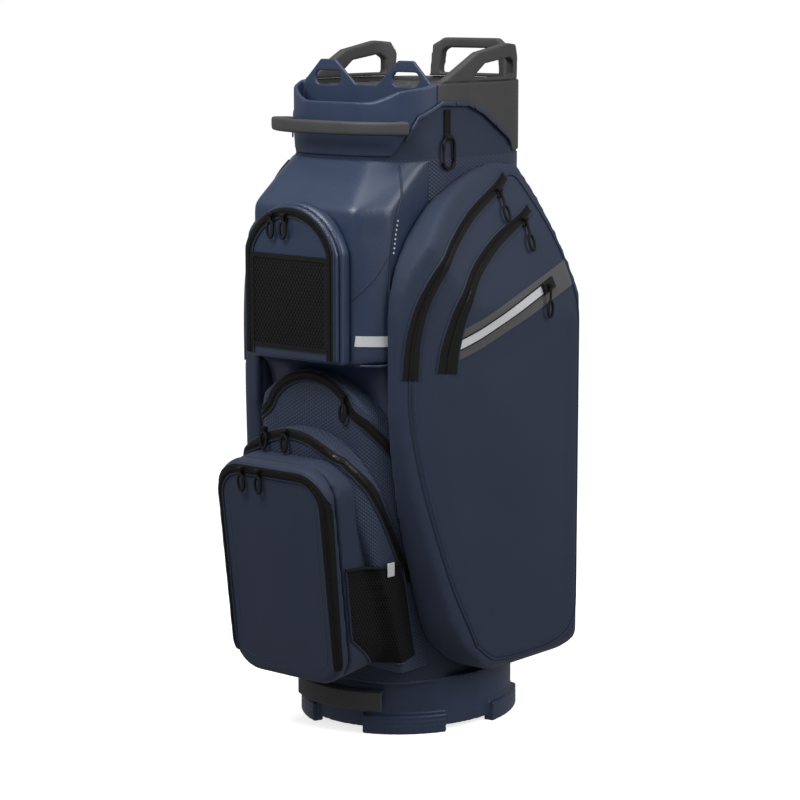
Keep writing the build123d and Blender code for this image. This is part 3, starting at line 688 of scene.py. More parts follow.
def scatter_tree(material):
    """Places a small block on each point, turned to the point's own directions."""
    tree = bpy.data.node_groups.new("sewn_row", "GeometryNodeTree")
    made = tree.interface.new_socket
    made("Geometry", in_out="INPUT", socket_type="NodeSocketGeometry")
    made("Length", in_out="INPUT", socket_type="NodeSocketFloat")
    made("Width", in_out="INPUT", socket_type="NodeSocketFloat")
    made("Height", in_out="INPUT", socket_type="NodeSocketFloat")
    made("Geometry", in_out="OUTPUT", socket_type="NodeSocketGeometry")
    nodes, link = tree.nodes, tree.links.new
    source, sink = nodes.new("NodeGroupInput"), nodes.new("NodeGroupOutput")
    size = nodes.new("ShaderNodeCombineXYZ")
    for i, name in enumerate(("Length", "Width", "Height")):
        link(source.outputs[name], size.inputs[i])
    cube = nodes.new("GeometryNodeMeshCube")
    link(size.outputs[0], cube.inputs["Size"])
    turn = None
    for axis, attribute in (("Z", "out"), ("X", "along")):
        named = nodes.new("GeometryNodeInputNamedAttribute")
        named.data_type = "FLOAT_VECTOR"
        named.inputs["Name"].default_value = attribute
        align = nodes.new("FunctionNodeAlignRotationToVector")
        align.axis = axis
        align.pivot_axis = "AUTO" if axis == "Z" else "Z"
        if turn:
            link(turn.outputs[0], align.inputs["Rotation"])
        link(named.outputs["Attribute"], align.inputs["Vector"])
        turn = align
    dots = nodes.new("GeometryNodeMeshToPoints")
    link(source.outputs["Geometry"], dots.inputs["Mesh"])
    place = nodes.new("GeometryNodeInstanceOnPoints")
    link(dots.outputs[0], place.inputs["Points"])
    link(cube.outputs["Mesh"], place.inputs["Instance"])
    link(turn.outputs[0], place.inputs["Rotation"])
    real = nodes.new("GeometryNodeRealizeInstances")
    link(place.outputs[0], real.inputs[0])
    paint = nodes.new("GeometryNodeSetMaterial")
    paint.inputs["Material"].default_value = material
    link(real.outputs[0], paint.inputs["Geometry"])
    link(paint.outputs[0], sink.inputs["Geometry"])
    return tree


def row_of(name, spots, block, material):
    """Row of small blocks: spots are (point, normal, direction)."""
    mesh = bpy.data.meshes.new(name)
    mesh.from_pydata([tuple(s[0]) for s in spots], [], [])
    for k, attribute in ((1, "out"), (2, "along")):
        layer = mesh.attributes.new(attribute, "FLOAT_VECTOR", "POINT")
        layer.data.foreach_set("vector", [c for s in spots for c in s[k]])
    made = new_object(name, mesh, material)
    tree = scatter_tree(MATERIALS[material])
    holder = made.modifiers.new("row", "NODES")
    holder.node_group = tree
    names = {item.name: item.identifier for item in tree.interface.items_tree
             if item.in_out == "INPUT"}
    for key, value in zip(("Length", "Width", "Height"), block):
        holder[names[key]] = value
    bake_modifiers(made)
    made.data.materials.clear()
    made.data.materials.append(MATERIALS[material])
    return made


def spaced(hits, first, every):
    """Evenly spaced (point, normal, direction) along surface points."""
    path = np.array([h[0] for h in hits])
    run = np.r_[0, np.cumsum(np.linalg.norm(np.diff(path, axis=0), axis=1))]
    spots = []
    for want in np.arange(first, run[-1], every):
        i = max(1, min(int(np.searchsorted(run, want)), len(hits) - 1))
        share = (want - run[i - 1]) / max(run[i] - run[i - 1], 1e-9)
        along = Vector(path[i] - path[i - 1]).normalized()
        out = (hits[i][1] - along * hits[i][1].dot(along)).normalized()
        spots.append((Vector(path[i - 1] + share * (path[i] - path[i - 1])), out, along))
    return spots


def spots_along(surface, line, offset, lift, every, closed=False):
    """Places for teeth or stitches beside a flat line."""
    rows = lay(surface, line, [offset], lift, closed)
    return spaced([row[0] for row in rows if row[0]], every / 2, every)


def zip_on(name, surface, line, closed=False, body="bag", flare=None):
    """A whole zip: tape, two rows of teeth and a cord of piping on each side."""
    s = sizes()
    ends = flare or (s.zip_width, s.zip_width)
    pieces = [band(name + "_tape", surface, line, flare or s.zip_width, "tape", closed=closed)]
    spots = []
    for k, offset in enumerate((-0.0009, 0.0009)):
        row = spots_along(surface, line, offset, 0.0022, s.tooth_pitch, closed)
        spots += row[k:]
    teeth = row_of(name + "_teeth", spots, (s.tooth_pitch * 0.6, 0.0026, 0.0014), "teeth")
    pieces.append(teeth)
    for tag, offset in (("near", -1), ("far", 1)):
        share = np.linspace(0, 1, len(line))[:, None]
        reach = (ends[0] * (1 - share) + ends[1] * share) / 2 + 0.0007
        beside = np.array(line) + sideways(np.array(line)) * reach * offset
        hits = [surface.on(p, s.piping * 0.5) for p in beside]
        path = [hit[0] for hit in hits if hit]
        pieces.append(tube(f"{name}_piping_{tag}", path, s.piping, "piping", closed))
    for piece, slot in zip(pieces, ("black_fabric", "black_fabric", "navy_fabric", "navy_fabric")):
        attach(piece, body, slot)
    return pieces


class Skin:
    """The surface of a few pieces, where strips wrap round corners along 3-D paths."""

    def __init__(self, objects):
        self.tree = Face(objects, "YZ", 1).tree

    def near(self, point, lift=0.0):
        spot, normal, _, _ = self.tree.find_nearest(point)
        return spot + normal * lift, normal

    def rows(self, path, offsets, lifts):
        """Surface points beside the path: one row of them for each path point."""
        path = [self.near(Vector(p)) for p in path]
        rows = []
        for i, (point, normal) in enumerate(path):
            ahead = path[min(i + 1, len(path) - 1)][0] - path[max(i - 1, 0)][0]
            beside = normal.cross(ahead).normalized()
            rows.append([self.near(point + beside * o, lift) for o, lift in zip(offsets, lifts)])
        return rows


def wrapped_zip(name, skin, path, width, body="bag"):
    """Zip along a 3-D path over the corners of a pocket."""
    s = sizes()
    path = dense(path, 0.003)
    share = np.linspace(-0.5, 0.5, 5)
    offsets = [width * share[0], *(width * share), width * share[-1]]
    rows = skin.rows(path, offsets, [-0.0004] + [0.0018] * 5 + [-0.0004])
    points = [hit[0] for row in rows for hit in row]
    tape = from_data(name + "_tape", points, ring_faces(len(rows), len(offsets)), "tape")
    pieces = [attach(tape, body, "black_fabric")]
    spots = []
    for offset in (-0.0009, 0.0009):
        hits = [row[0] for row in skin.rows(path, [offset], [0.0022])]
        spots += spaced(hits, s.tooth_pitch, s.tooth_pitch)
    pieces.append(attach(row_of(name + "_teeth", spots, (s.tooth_pitch * 0.6, 0.0026, 0.0014),
                                "teeth"), body, "black_fabric"))
    for tag, side in (("near", -1), ("far", 1)):
        edge = [row[0][0] for row in skin.rows(path, [side * (width / 2 + 0.0007)],
                                               [s.piping * 0.5])]
        pieces.append(attach(tube(f"{name}_piping_{tag}", edge, s.piping, "piping"), body,
                             "navy_fabric"))
    return pieces


def stitches(name, surface, line, offset, body="bag", material="thread", closed=False):
    """A row of stitches beside a flat line."""
    s = sizes()
    spots = spots_along(surface, line, offset, 0.0003, s.stitch_pitch, closed)
    row = row_of(name, spots, (s.stitch_pitch * 0.62, 0.0007, 0.0005), material)
    return attach(row, body, "navy_fabric")


def flat(line):
    """Flat points in the bag's millimetres: (Y, Z) for a side, turned into metres."""
    return [(y * MM + SHIFT_Y, z * MM) for y, z in line]


def front(line):
    """Flat points in the bag's millimetres: (X, Z) for the front, turned into metres."""
    return [(x * MM, z * MM) for x, z in line]


# Lines sewn on the bag, in its own millimetres: (Y, Z) on the sides, (X, Z) in front.
OUTER_ZIP = [(34, 738), (6, 722), (-62, 690), (-120, 646), (-152, 596), (-166, 545), (-170, 490)]
FRONT_EDGE = [(-170, 490), (-168, 430), (-151, 330), (-118, 215), (-78, 128)]
INNER_ZIP = [(66, 694), (44, 682), (-22, 654), (-76, 618), (-106, 576), (-122, 530), (-127, 496)]
POCKET_RIM = [(-78, 128), (-40, 104), (40, 100), (90, 104), (122, 122), (136, 156), (137, 260),
              (137, 420), (136, 546), (124, 610), (104, 660), (74, 712), (56, 736), (34, 738)]
SLANT_LOW = [(-128, 506), (131, 590)]
SLANT_HIGH = [(-130, 542), (119, 622)]
SLANT_ZIP = [(-112, 530), (66, 590)]


# ---- soft blocks ---------------------------------------------------------------
def prism(name, plan, low, high):
    """Closed block from a plan outline in the bag's millimetres."""
    count = len(plan)
    points = [bag(x, y, low) for x, y in plan] + [bag(x, y, high) for x, y in plan]
    faces = [list(range(count))[::-1], list(range(count, 2 * count))]
    faces += [[i, (i + 1) % count, count + (i + 1) % count, count + i] for i in range(count)]
    return from_data(name, points, faces, "navy")


def tube_plan(grow=0.0, per_corner=14):
    """Rounded outline of the club tube."""
    plan = []
    corner = TUBE_CORNER + grow
    for k, (sx, sy) in enumerate(((1, 1), (-1, 1), (-1, -1), (1, -1))):
        cx = sx * (TUBE_HALF_X - TUBE_CORNER)
        cy = (TUBE_BACK - TUBE_CORNER) if sy > 0 else -(TUBE_FRONT - TUBE_CORNER)
        for i in range(per_corner + 1):
            a = pi / 2 * (k + i / per_corner)
            plan.append((cx + corner * cos(a), cy + corner * sin(a)))
    return plan


def cut(obj, *cutters, lined=False):
    """Cut blocks out of a piece; a lined cut keeps the block's own material."""
    for cutter in cutters:
        knife = obj.modifiers.new("cut", "BOOLEAN")
        knife.operation = "DIFFERENCE"
        knife.solver = "EXACT"
        knife.object = cutter
        if lined:
            knife.material_mode = "TRANSFER"
    bake_modifiers(obj)
    for cutter in cutters:
        bpy.data.objects.remove(cutter)
    return obj


def sharp_points(obj, angle, step=0.003):
    """Points along the block's sharp edges, where its panels are sewn together."""
    bm = bmesh.new()
    bm.from_mesh(obj.data)
    bmesh.ops.remove_doubles(bm, verts=bm.verts, dist=1e-5)
    bmesh.ops.dissolve_limit(bm, angle_limit=radians(1), verts=bm.verts, edges=bm.edges)
    found = []
    for edge in bm.edges:
        if len(edge.link_faces) != 2 or edge.calc_face_angle(0) > radians(angle):
            a, b = edge.verts[0].co, edge.verts[1].co
            for i in range(max(2, int((b - a).length / step))):
                found.append(a.lerp(b, i / max(1, int((b - a).length / step))))
    bm.free()
    return found


def looseness(obj, edges, seams, grip=0.006, run=0.035):
    """How free each point is to swell: none at the seams, full some way off."""
    points = read_points(obj.data)
    near = np.full(len(points), 1.0)
    if edges:
        tree = KDTree(len(edges))
        for i, p in enumerate(edges):
            tree.insert(p, i)
        tree.balance()
        near = np.array([tree.find(p)[2] for p in points])
    for plane, line, side in seams:
        flat_points = points[:, [1, 2]] if plane == "YZ" else points[:, [0, 2]]
        away = from_line(flat_points, line)
        if side:
            away = np.where(points[:, 0] * side > 0, away, 1.0)
        near = np.minimum(near, away)
    t = np.clip((near - grip) / run, 0, 1)
    return t * t * (3 - 2 * t)


def soft_block(name, node, material, cutters, seams=(), voxel=None, angle=32, pressure=4.0,
               cap=None, relax_rounds=3, run=0.035, smooth=1):
    """Padded block: the node's solid, remeshed, eased at its edges and swollen."""
    solid = hull_of(name, cad_points(node), material)
    if cutters:
        cut(solid, *cutters)
    edges = sharp_points(solid, angle)
    remeshed(solid, voxel or sizes().voxel)
    relax(solid.data, relax_rounds)
    inflate(solid, looseness(solid, edges, seams, run=run), pressure, cap)
    if smooth:
        fine = solid.modifiers.new("smooth", "SUBSURF")
        fine.levels = fine.render_levels = smooth
        bake_modifiers(solid)
    solid.data.materials.clear()
    solid.data.materials.append(MATERIALS[material])
    soften(solid.data, 60)
    return solid


def paint(obj, material, test):
    """Gives faces that pass a test on their centre another material."""
    obj.data.materials.append(MATERIALS[material])
    index = len(obj.data.materials) - 1
    for face in obj.data.polygons:
        if test(face.center):
            face.material_index = index


def flipped(obj, name):
    """The same piece on the other side of the bag."""
    mesh = obj.data.copy()
    mesh.name = name
    points = read_points(mesh)
    points[:, 0] *= -1
    write_points(mesh, points)
    mesh.flip_normals()
    made = bpy.data.objects.new(name, mesh)
    bpy.context.scene.collection.objects.link(made)
    return made


def moulding(node, material, body, slot, voxel=0.0016, rounds=2, swell=0.0):
    """Moulded part: the CAD part with its edges eased."""
    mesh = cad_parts[node].data.copy()
    bm = bmesh.new()
    bm.from_mesh(mesh)
    bmesh.ops.remove_doubles(bm, verts=bm.verts, dist=1e-6)
    bm.to_mesh(mesh)
    bm.free()
    piece = new_object("finished_" + node, mesh, material)
    remeshed(piece, voxel)
    relax(piece.data, rounds)
    if swell:
        normals = np.array([vert.normal for vert in piece.data.vertices])
        write_points(piece.data, read_points(piece.data) + normals * swell)
    piece.data.materials.clear()
    piece.data.materials.append(MATERIALS[material])
    soften(piece.data, 55)
    return attach(piece, body, slot, node)


def recolour(node, material):
    """Gives a CAD part that keeps its shape its finish."""
    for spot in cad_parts[node].material_slots:
        spot.material = MATERIALS[material]


SURFACES = {}


class Piece(bpy.types.Operator):
    """Shared options of the bag's operators."""

    bl_options = {"REGISTER", "UNDO"}


class MakeFinishes(Piece):
    """Make the bag's materials."""

    bl_idname = "cart_bag.finishes"
    bl_label = "Finishes"

    def execute(self, context):
        make_materials()
        for node, material in (("club_dividers", "lining"), ("base_floor_pad", "foam"),
                               ("frame_stays", "rod"), ("body_shell", "navy")):
            recolour(node, material)
        return {"FINISHED"}


class MakeShellCover(Piece):
    """Sew the fabric cover round the club tube."""

    bl_idname = "cart_bag.shell_cover"
    bl_label = "Shell cover"

    def execute(self, context):
        rows = np.linspace(101, 765, 170)
        outer, inner = tube_plan(1.1, 40), tube_plan(0.15, 40)
        points = []
        for i, z in enumerate(rows):
            edge = min(1.0, min(i, len(rows) - 1 - i) / 6)
            for k, (x, y) in enumerate(outer):
                wave = 0.35 * sin(z * 0.021 + 3 * sin(k * 0.09)) * sin(k * 0.19 + z * 0.007)
                grow = 1 + edge * wave / 120
                points.append(bag(x * grow, y * grow, z))
        for z in (rows[-1], rows[0]):
            points += [bag(x, y, z) for x, y in inner]
        faces = ring_faces(len(rows) + 2, len(outer), True)
        cover = from_data("shell_cover", points, faces, "navy", 60)
        paint(cover, "gusset", lambda c: c.z > 0.60 and abs(c.x) > 0.03)
        attach(cover, "bag", "navy_fabric")
        return {"FINISHED"}


class MakeBackPanel(Piece):
    """Pad the spine panel and its strap channel."""

    bl_idname = "cart_bag.back_panel"
    bl_label = "Back panel"

    def execute(self, context):
        low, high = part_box("back_panel")
        half, bottom, top = high.x - 0.001, low.z + 0.001, high.z - 0.001
        face_y = SHIFT_Y + (TUBE_BACK + 6.3) * MM
        across, up = 28, 160
        points = []
        for side in (0, 1):
            for j in range(up + 1):
                for i in range(across + 1):
                    u, v = i / across, j / up
                    x, z = (u * 2 - 1) * half, bottom + v * (top - bottom)
                    edge = min(u, 1 - u) * 2 * half, min(v, 1 - v) * (top - bottom)
                    swell = min(1.0, min(edge) / 0.014)
                    swell = sqrt(max(0.0, 1 - (1 - swell) ** 2))
                    channel = abs(sin(pi * (z / MM) / 78)) ** 0.35
                    y = face_y - 0.0045 + 0.0055 * swell * (0.55 + 0.45 * channel)
                    points.append((x, y if side else face_y - 0.0058, z))
        pad = from_data("back_pad", points, slab_faces(across, up), "gusset", 70)
        attach(pad, "bag", "navy_fabric", "back_panel", pad=0.7)
        end_plan = [(-44, 146), (44, 146), (44, 155.5), (-44, 155.5)]
        face_plan = [(-44.5, 154), (44.5, 154), (44.5, 155.8), (-44.5, 155.8)]
        strips = [prism("channel_end", end_plan, z - 7, z + 7) for z in (467, 373)]
        strips.append(prism("channel_face", face_plan, 367, 473))
        channel = joined("strap_channel", strips, "leather")
        edge = channel.modifiers.new("edge", "BEVEL")
        edge.width, edge.segments, edge.limit_method = 0.0007, 3, "ANGLE"
        bake_modifiers(channel)
        attach(channel, "bag", "navy_fabric")
        surface = Face([pad, channel], "XZ", 1)
        SURFACES["back"] = surface
        rim_line = front([(-51, 115), (51, 115), (51, 745), (-51, 745)])
        path = [row[0][0] for row in lay(surface, corners_kept(rim_line), [0], 0.0004, True) if row[0]]
        attach(tube("back_pad_piping", path, sizes().piping, "piping", True), "bag", "navy_fabric")
        box_line = front([(-39, 372), (39, 372), (39, 468), (-39, 468)])
        stitches("channel_stitches", surface, corners_kept(box_line), 0.0, closed=True)
        return {"FINISHED"}


def corners_kept(line, step=0.003):
    """Evenly spaced points round a closed straight-sided outline."""
    out = []
    for a, b in zip(line, line[1:] + line[:1]):
        a, b = np.array(a), np.array(b)
        count = max(2, int(np.linalg.norm(b - a) / step))
        out += [a + (b - a) * i / count for i in range(count)]
    return np.array(out)


class MakeBase(Piece):
    """Mould the base tray, its feet and its grab handle."""

    bl_idname = "cart_bag.base"
    bl_label = "Base"

    def execute(self, context):
        moulding("base_tray", "navy_plastic", "bag", "navy_plastic", 0.002, 1)
        moulding("base_grab_handle", "grey_plastic", "bag", "grey_plastic", 0.0013, 2)
        return {"FINISHED"}


class MakeCuff(Piece):
    """Mould the cuffs, the handles and their trims."""

    bl_idname = "cart_bag.cuff"
    bl_label = "Cuff and handles"

    def execute(self, context):
        moulding("front_cuff", "navy_plastic", "bag", "navy_plastic", 0.0016, 2)
        moulding("rear_cuff", "grey_plastic", "bag", "grey_plastic", 0.0016, 2)
        for node in ("side_handle_right", "side_handle_left", "rear_handle"):
            moulding(node, "grey_plastic", "bag", "grey_plastic", 0.0014, 7)
        moulding("front_handle", "grey_plastic", "bag", "grey_plastic", 0.0014, 18)
        moulding("side_trims", "navy_plastic", "bag", "navy_plastic", 0.0009, 2)
        moulding("cuff_screws", "screw", "bag", "black_metal", 0.0003, 2)
        return {"FINISHED"}


class MakeDivider(Piece):
    """Mould the club divider's top grid."""

    bl_idname = "cart_bag.divider"
    bl_label = "Club divider"

    def execute(self, context):
        moulding("top_divider", "grey_plastic", "bag", "grey_plastic", 0.0016, 2)
        return {"FINISHED"}


class MakeSidePockets(Piece):
    """Sew the two apparel pockets."""

    bl_idname = "cart_bag.side_pockets"
    bl_label = "Side pockets"

    def execute(self, context):
        cutters = [tube_cutter(),
                   prism("stack_cut", [(-112.5, -400), (112.5, -400), (112.5, -60), (-112.5, -60)],
                         40, 900)]
        seams = [("YZ", dense(flat(line), 0.006), 1) for line in
                 (OUTER_ZIP, FRONT_EDGE, INNER_ZIP, SLANT_LOW, SLANT_HIGH, SLANT_ZIP, POCKET_RIM)]
        right = soft_block("side_pocket_fabric_right", "side_pocket_right", "navy", cutters, seams,
                           voxel=0.0052, cap=sizes().puff, run=0.05)
        for line in (OUTER_ZIP, FRONT_EDGE, INNER_ZIP, POCKET_RIM):
            groove(right.data, dense(flat(line), 0.004), "YZ", 0.0035, 0.0012)
        left = flipped(right, "side_pocket_fabric_left")
        for piece, side in ((right, "right"), (left, "left")):
            attach(piece, "bag", "navy_fabric", "side_pocket_" + side, pad=0.5)
        SURFACES["right"] = Face([right], "YZ", 1)
        SURFACES["left"] = Face([left], "YZ", -1)
        return {"FINISHED"}


def tube_cutter():
    """Block that a pocket is cut with where it lies on the club tube."""
    return prism("tube_cut", tube_plan(-1), 40, 900)


class MakeUpperPanel(Piece):
    """Sew the leatherette panel at the top of the front."""

    bl_idname = "cart_bag.upper_panel"
    bl_label = "Upper front panel"

    def execute(self, context):
        panel = soft_block("upper_front_fabric", "upper_front_panel", "leather", [tube_cutter()],
                           voxel=0.0045, cap=0.004, run=0.045, angle=24, relax_rounds=6)
        attach(panel, "bag", "navy_leatherette", "upper_front_panel", pad=0.4)
        SURFACES["panel"] = panel
        return {"FINISHED"}


class MakeWaist(Piece):
    """Sew the leatherette that tucks in under the front panel."""

    bl_idname = "cart_bag.waist"
    bl_label = "Waist"

    def execute(self, context):
        half, back, turn, steps = 111, -112, 34, 8
        quarter = [radians(90) * i / steps for i in range(steps + 1)]
        points, faces = [], []
        levels = dense([(-206, 508), (-188, 498), (-176, 482), (-169, 455), (-165, 400), (-163, 330)],
                       5)
        for y, z in levels:
            left = [(-half + turn * (1 - cos(a)), y + turn * (1 - sin(a))) for a in quarter]
            row = [(-half, back)] + left
            row += [(-x, depth) for x, depth in reversed(row)]
            points += [bag(x, depth, z) for x, depth in row]
        wide = 2 * (steps + 2)
        for j in range(len(levels) - 1):
            for i in range(wide - 1):
                a = j * wide + i
                faces.append([a, a + 1, a + wide + 1, a + wide])
        waist = from_data("waist_fabric", points, faces, "leather", 60)
        cloth = waist.modifiers.new("cloth", "SOLIDIFY")
        cloth.thickness = 0.002
        bake_modifiers(waist)
        attach(waist, "bag", "navy_leatherette")
        return {"FINISHED"}


class MakeFrontPockets(Piece):
    """Sew the two arched pockets of the front."""

    bl_idname = "cart_bag.front_pockets"
    bl_label = "Front pockets"

    def execute(self, context):
        for node in ("mid_pocket", "second_pocket"):
            pocket = soft_block(node + "_fabric", node, "gusset", [tube_cutter()], voxel=0.0045,
                                cap=0.003, run=0.03, relax_rounds=4)
            attach(pocket, "bag", "navy_fabric", node, pad=0.4)
            SURFACES[node] = pocket
        return {"FINISHED"}


class MakeBallPocket(Piece):
    """Sew the ball pocket and its padded door."""

    bl_idname = "cart_bag.ball_pocket"
    bl_label = "Ball pocket"

    def execute(self, context):
        pocket = soft_block("ball_pocket_fabric", "ball_pocket", "navy", [], voxel=0.0045,
                            cap=0.002, run=0.05, relax_rounds=3)
        mouth = [(x / MM, z / MM) for x, z in ball_ring(8)[::3]]
        low = [(x, z) for x, z in mouth if z < 292]
        upper = [bag(x, y, z) for x, z in mouth for y in (-330, -228)]
        lower = [bag(x, y, z) for x, z in low for y in (-330, -160 - (z - 100) * 0.351)]
        cut(pocket, hull_of("ball_room_upper", upper, "lining"),
            hull_of("ball_room_lower", lower, "lining"), lined=True)
        attach(pocket, "bag", "navy_fabric", "ball_pocket", pad=0.4)
        SURFACES["ball_pocket"] = pocket
        ring = open_ball_path()
        door = soft_block("ball_door_fabric", "ball_door", "navy", [], [("XZ", ring, 0)],
                          voxel=0.0042, cap=0.006, run=0.06, angle=50, relax_rounds=2)
        attach(door, "ball_door", "navy_fabric", "ball_door", pad=0.6)
        surface = Face([door], "XZ", -1)
        SURFACES["ball_door"] = surface
        pieces = zip_on("ball_zip", surface, ring, False, "ball_door")
        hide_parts("ball_zip_tape")
        stitches("ball_door_stitches", surface, ball_ring(21), 0.0, "ball_door", closed=True)
        return {"FINISHED"}


BALL_LEAN = radians(7)           # how far the ball pocket's front leans out
BALL_LOW, BALL_HIGH = 92, 388    # heights of the ball pocket
BALL_HALF = 96                   # half of its width
BALL_DOOR = 21                   # thickness of its door
BALL_TALL = (BALL_HIGH - BALL_LOW) / cos(BALL_LEAN) - 6


def ball_height(run):
    """Height on the ball door's face of a point some way up its slope."""
    return BALL_LOW + run * cos(BALL_LEAN) - BALL_DOOR * sin(BALL_LEAN)


def ball_ring(inset, step=0.003):
    """Rounded outline inside the ball door's edge, seen from the front, from the right."""
    half, corner = BALL_HALF - inset, 44 - inset
    points = []
    for k, (sx, sy) in enumerate(((1, -1), (1, 1), (-1, 1), (-1, -1))):
        cx = sx * (half - corner)
        cy = (BALL_TALL - inset - corner) if sy > 0 else (inset + corner)
        for i in range(13):
            a = pi / 2 * (k - 1 + i / 12)
            points.append((cx + corner * cos(a), cy + corner * sin(a)))
    line = [(x * MM, ball_height(h) * MM) for x, h in points]
    return corners_kept(line, step)


def open_ball_path(side=5.5, top=11.5, low=118, step=0.003):
    """Path of the ball door's zip: up one side, over the top and down the other."""
    half, corner = BALL_HALF - side, 40
    points = [(half, (low - BALL_LOW) / cos(BALL_LEAN))]
    for k, sx in ((0, 1), (1, -1)):
        for i in range(13):
            a = pi / 2 * (k + i / 12)
            points.append((sx * (half - corner) + corner * cos(a),
                           BALL_TALL - top - corner + corner * sin(a)))
    points.append((-half, (low - BALL_LOW) / cos(BALL_LEAN)))
    return even([(x, ball_height(h)) for x, h in points], step)


def arch_line(half, bottom, shoulder, top, inset):
    """Arched line, straight up the sides and round over the top, in millimetres."""
    half, top = half - inset, top - inset
    rise = top - shoulder
    radius = (half * half + rise * rise) / (2 * rise)
    reach = atan2(half, radius - rise)
    arc = [(radius * sin(a), top - radius + radius * cos(a)) for a in np.linspace(-reach, reach, 40)]
    return [(-half, bottom), (-half, (bottom + shoulder) / 2)] + arc + [
        (half, (bottom + shoulder) / 2), (half, bottom)]


def even(line, step=0.003):
    """Evenly spaced points along an open line given in millimetres."""
    line = np.array(line) * MM
    run = np.r_[0, np.cumsum(np.linalg.norm(np.diff(line, axis=0), axis=1))]
    want = np.linspace(0, run[-1], max(2, int(run[-1] / step)))
    return np.stack([np.interp(want, run, line[:, i]) for i in (0, 1)], 1)


class MakeValuablesPocket(Piece):
    """Sew the valuables pocket, its door and its mesh panel."""

    bl_idname = "cart_bag.valuables"
    bl_label = "Valuables pocket"

    def execute(self, context):
        box = soft_block("valuables_fabric", "valuables_pocket", "leather", [], voxel=0.003,
                         cap=0.001, relax_rounds=2, smooth=0)
        mouth = arch_line(79, 514, 651, 713, 5)
        room = [bag(x, y, z) for x, z in mouth for y in (-300, -218)]
        cut(box, hull_of("valuables_room", room, "lining"), lined=True)
        attach(box, "bag", "navy_leatherette", "valuables_pocket", pad=0.4)
        arch = arch_line(79, 515, 651, 710, 9.5)
        door = soft_block("valuables_door_fabric", "valuables_door", "leather", [],
                          [("XZ", even(arch), 0)], voxel=0.003, cap=0.004, run=0.04, angle=50,
                          relax_rounds=2)
        attach(door, "valuables_door", "navy_leatherette", "valuables_door", pad=0.6)
        surface = Face([door], "XZ", -1)
        SURFACES["valuables_door"] = surface
        pieces = zip_on("valuables_zip", surface, even(arch), False, "valuables_door")
        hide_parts("valuables_zip_tape")
        panel = mesh_patch("valuables_mesh", surface, (-64, 527), (64, 643), 0.0016, "mesh")
        attach(panel, "valuables_door", "black_fabric")
        rim = corners_kept(front([(-64, 527), (64, 527), (64, 643), (-64, 643)]))
        binding = band("valuables_mesh_binding", surface, rim, 0.006, "tape", 0.001, 0.0014, 4, True)
        attach(binding, "valuables_door", "black_fabric")
        stitches("valuables_mesh_stitches", surface, rim, 0.0, "valuables_door")
        return {"FINISHED"}


def mesh_patch(name, surface, low, high, bulge, material, columns=48, rows=48):
    """Sheet of mesh sewn flat on a face and bulging a little in its middle."""
    points = []
    for side in (0, 1):
        for j in range(rows + 1):
            for i in range(columns + 1):
                u, v = i / columns, j / rows
                x = (low[0] + (high[0] - low[0]) * u) * MM
                z = (low[1] + (high[1] - low[1]) * v) * MM
                hit = surface.on((x, z))
                swell = (sin(pi * u) * sin(pi * v)) ** 0.6 if 0 < u < 1 and 0 < v < 1 else 0
                lift = -0.0004 if side == 0 else 0.0012 + bulge * swell
                points.append(hit[0] + hit[1] * lift)
    return from_data(name, points, slab_faces(columns, rows), material, 60)


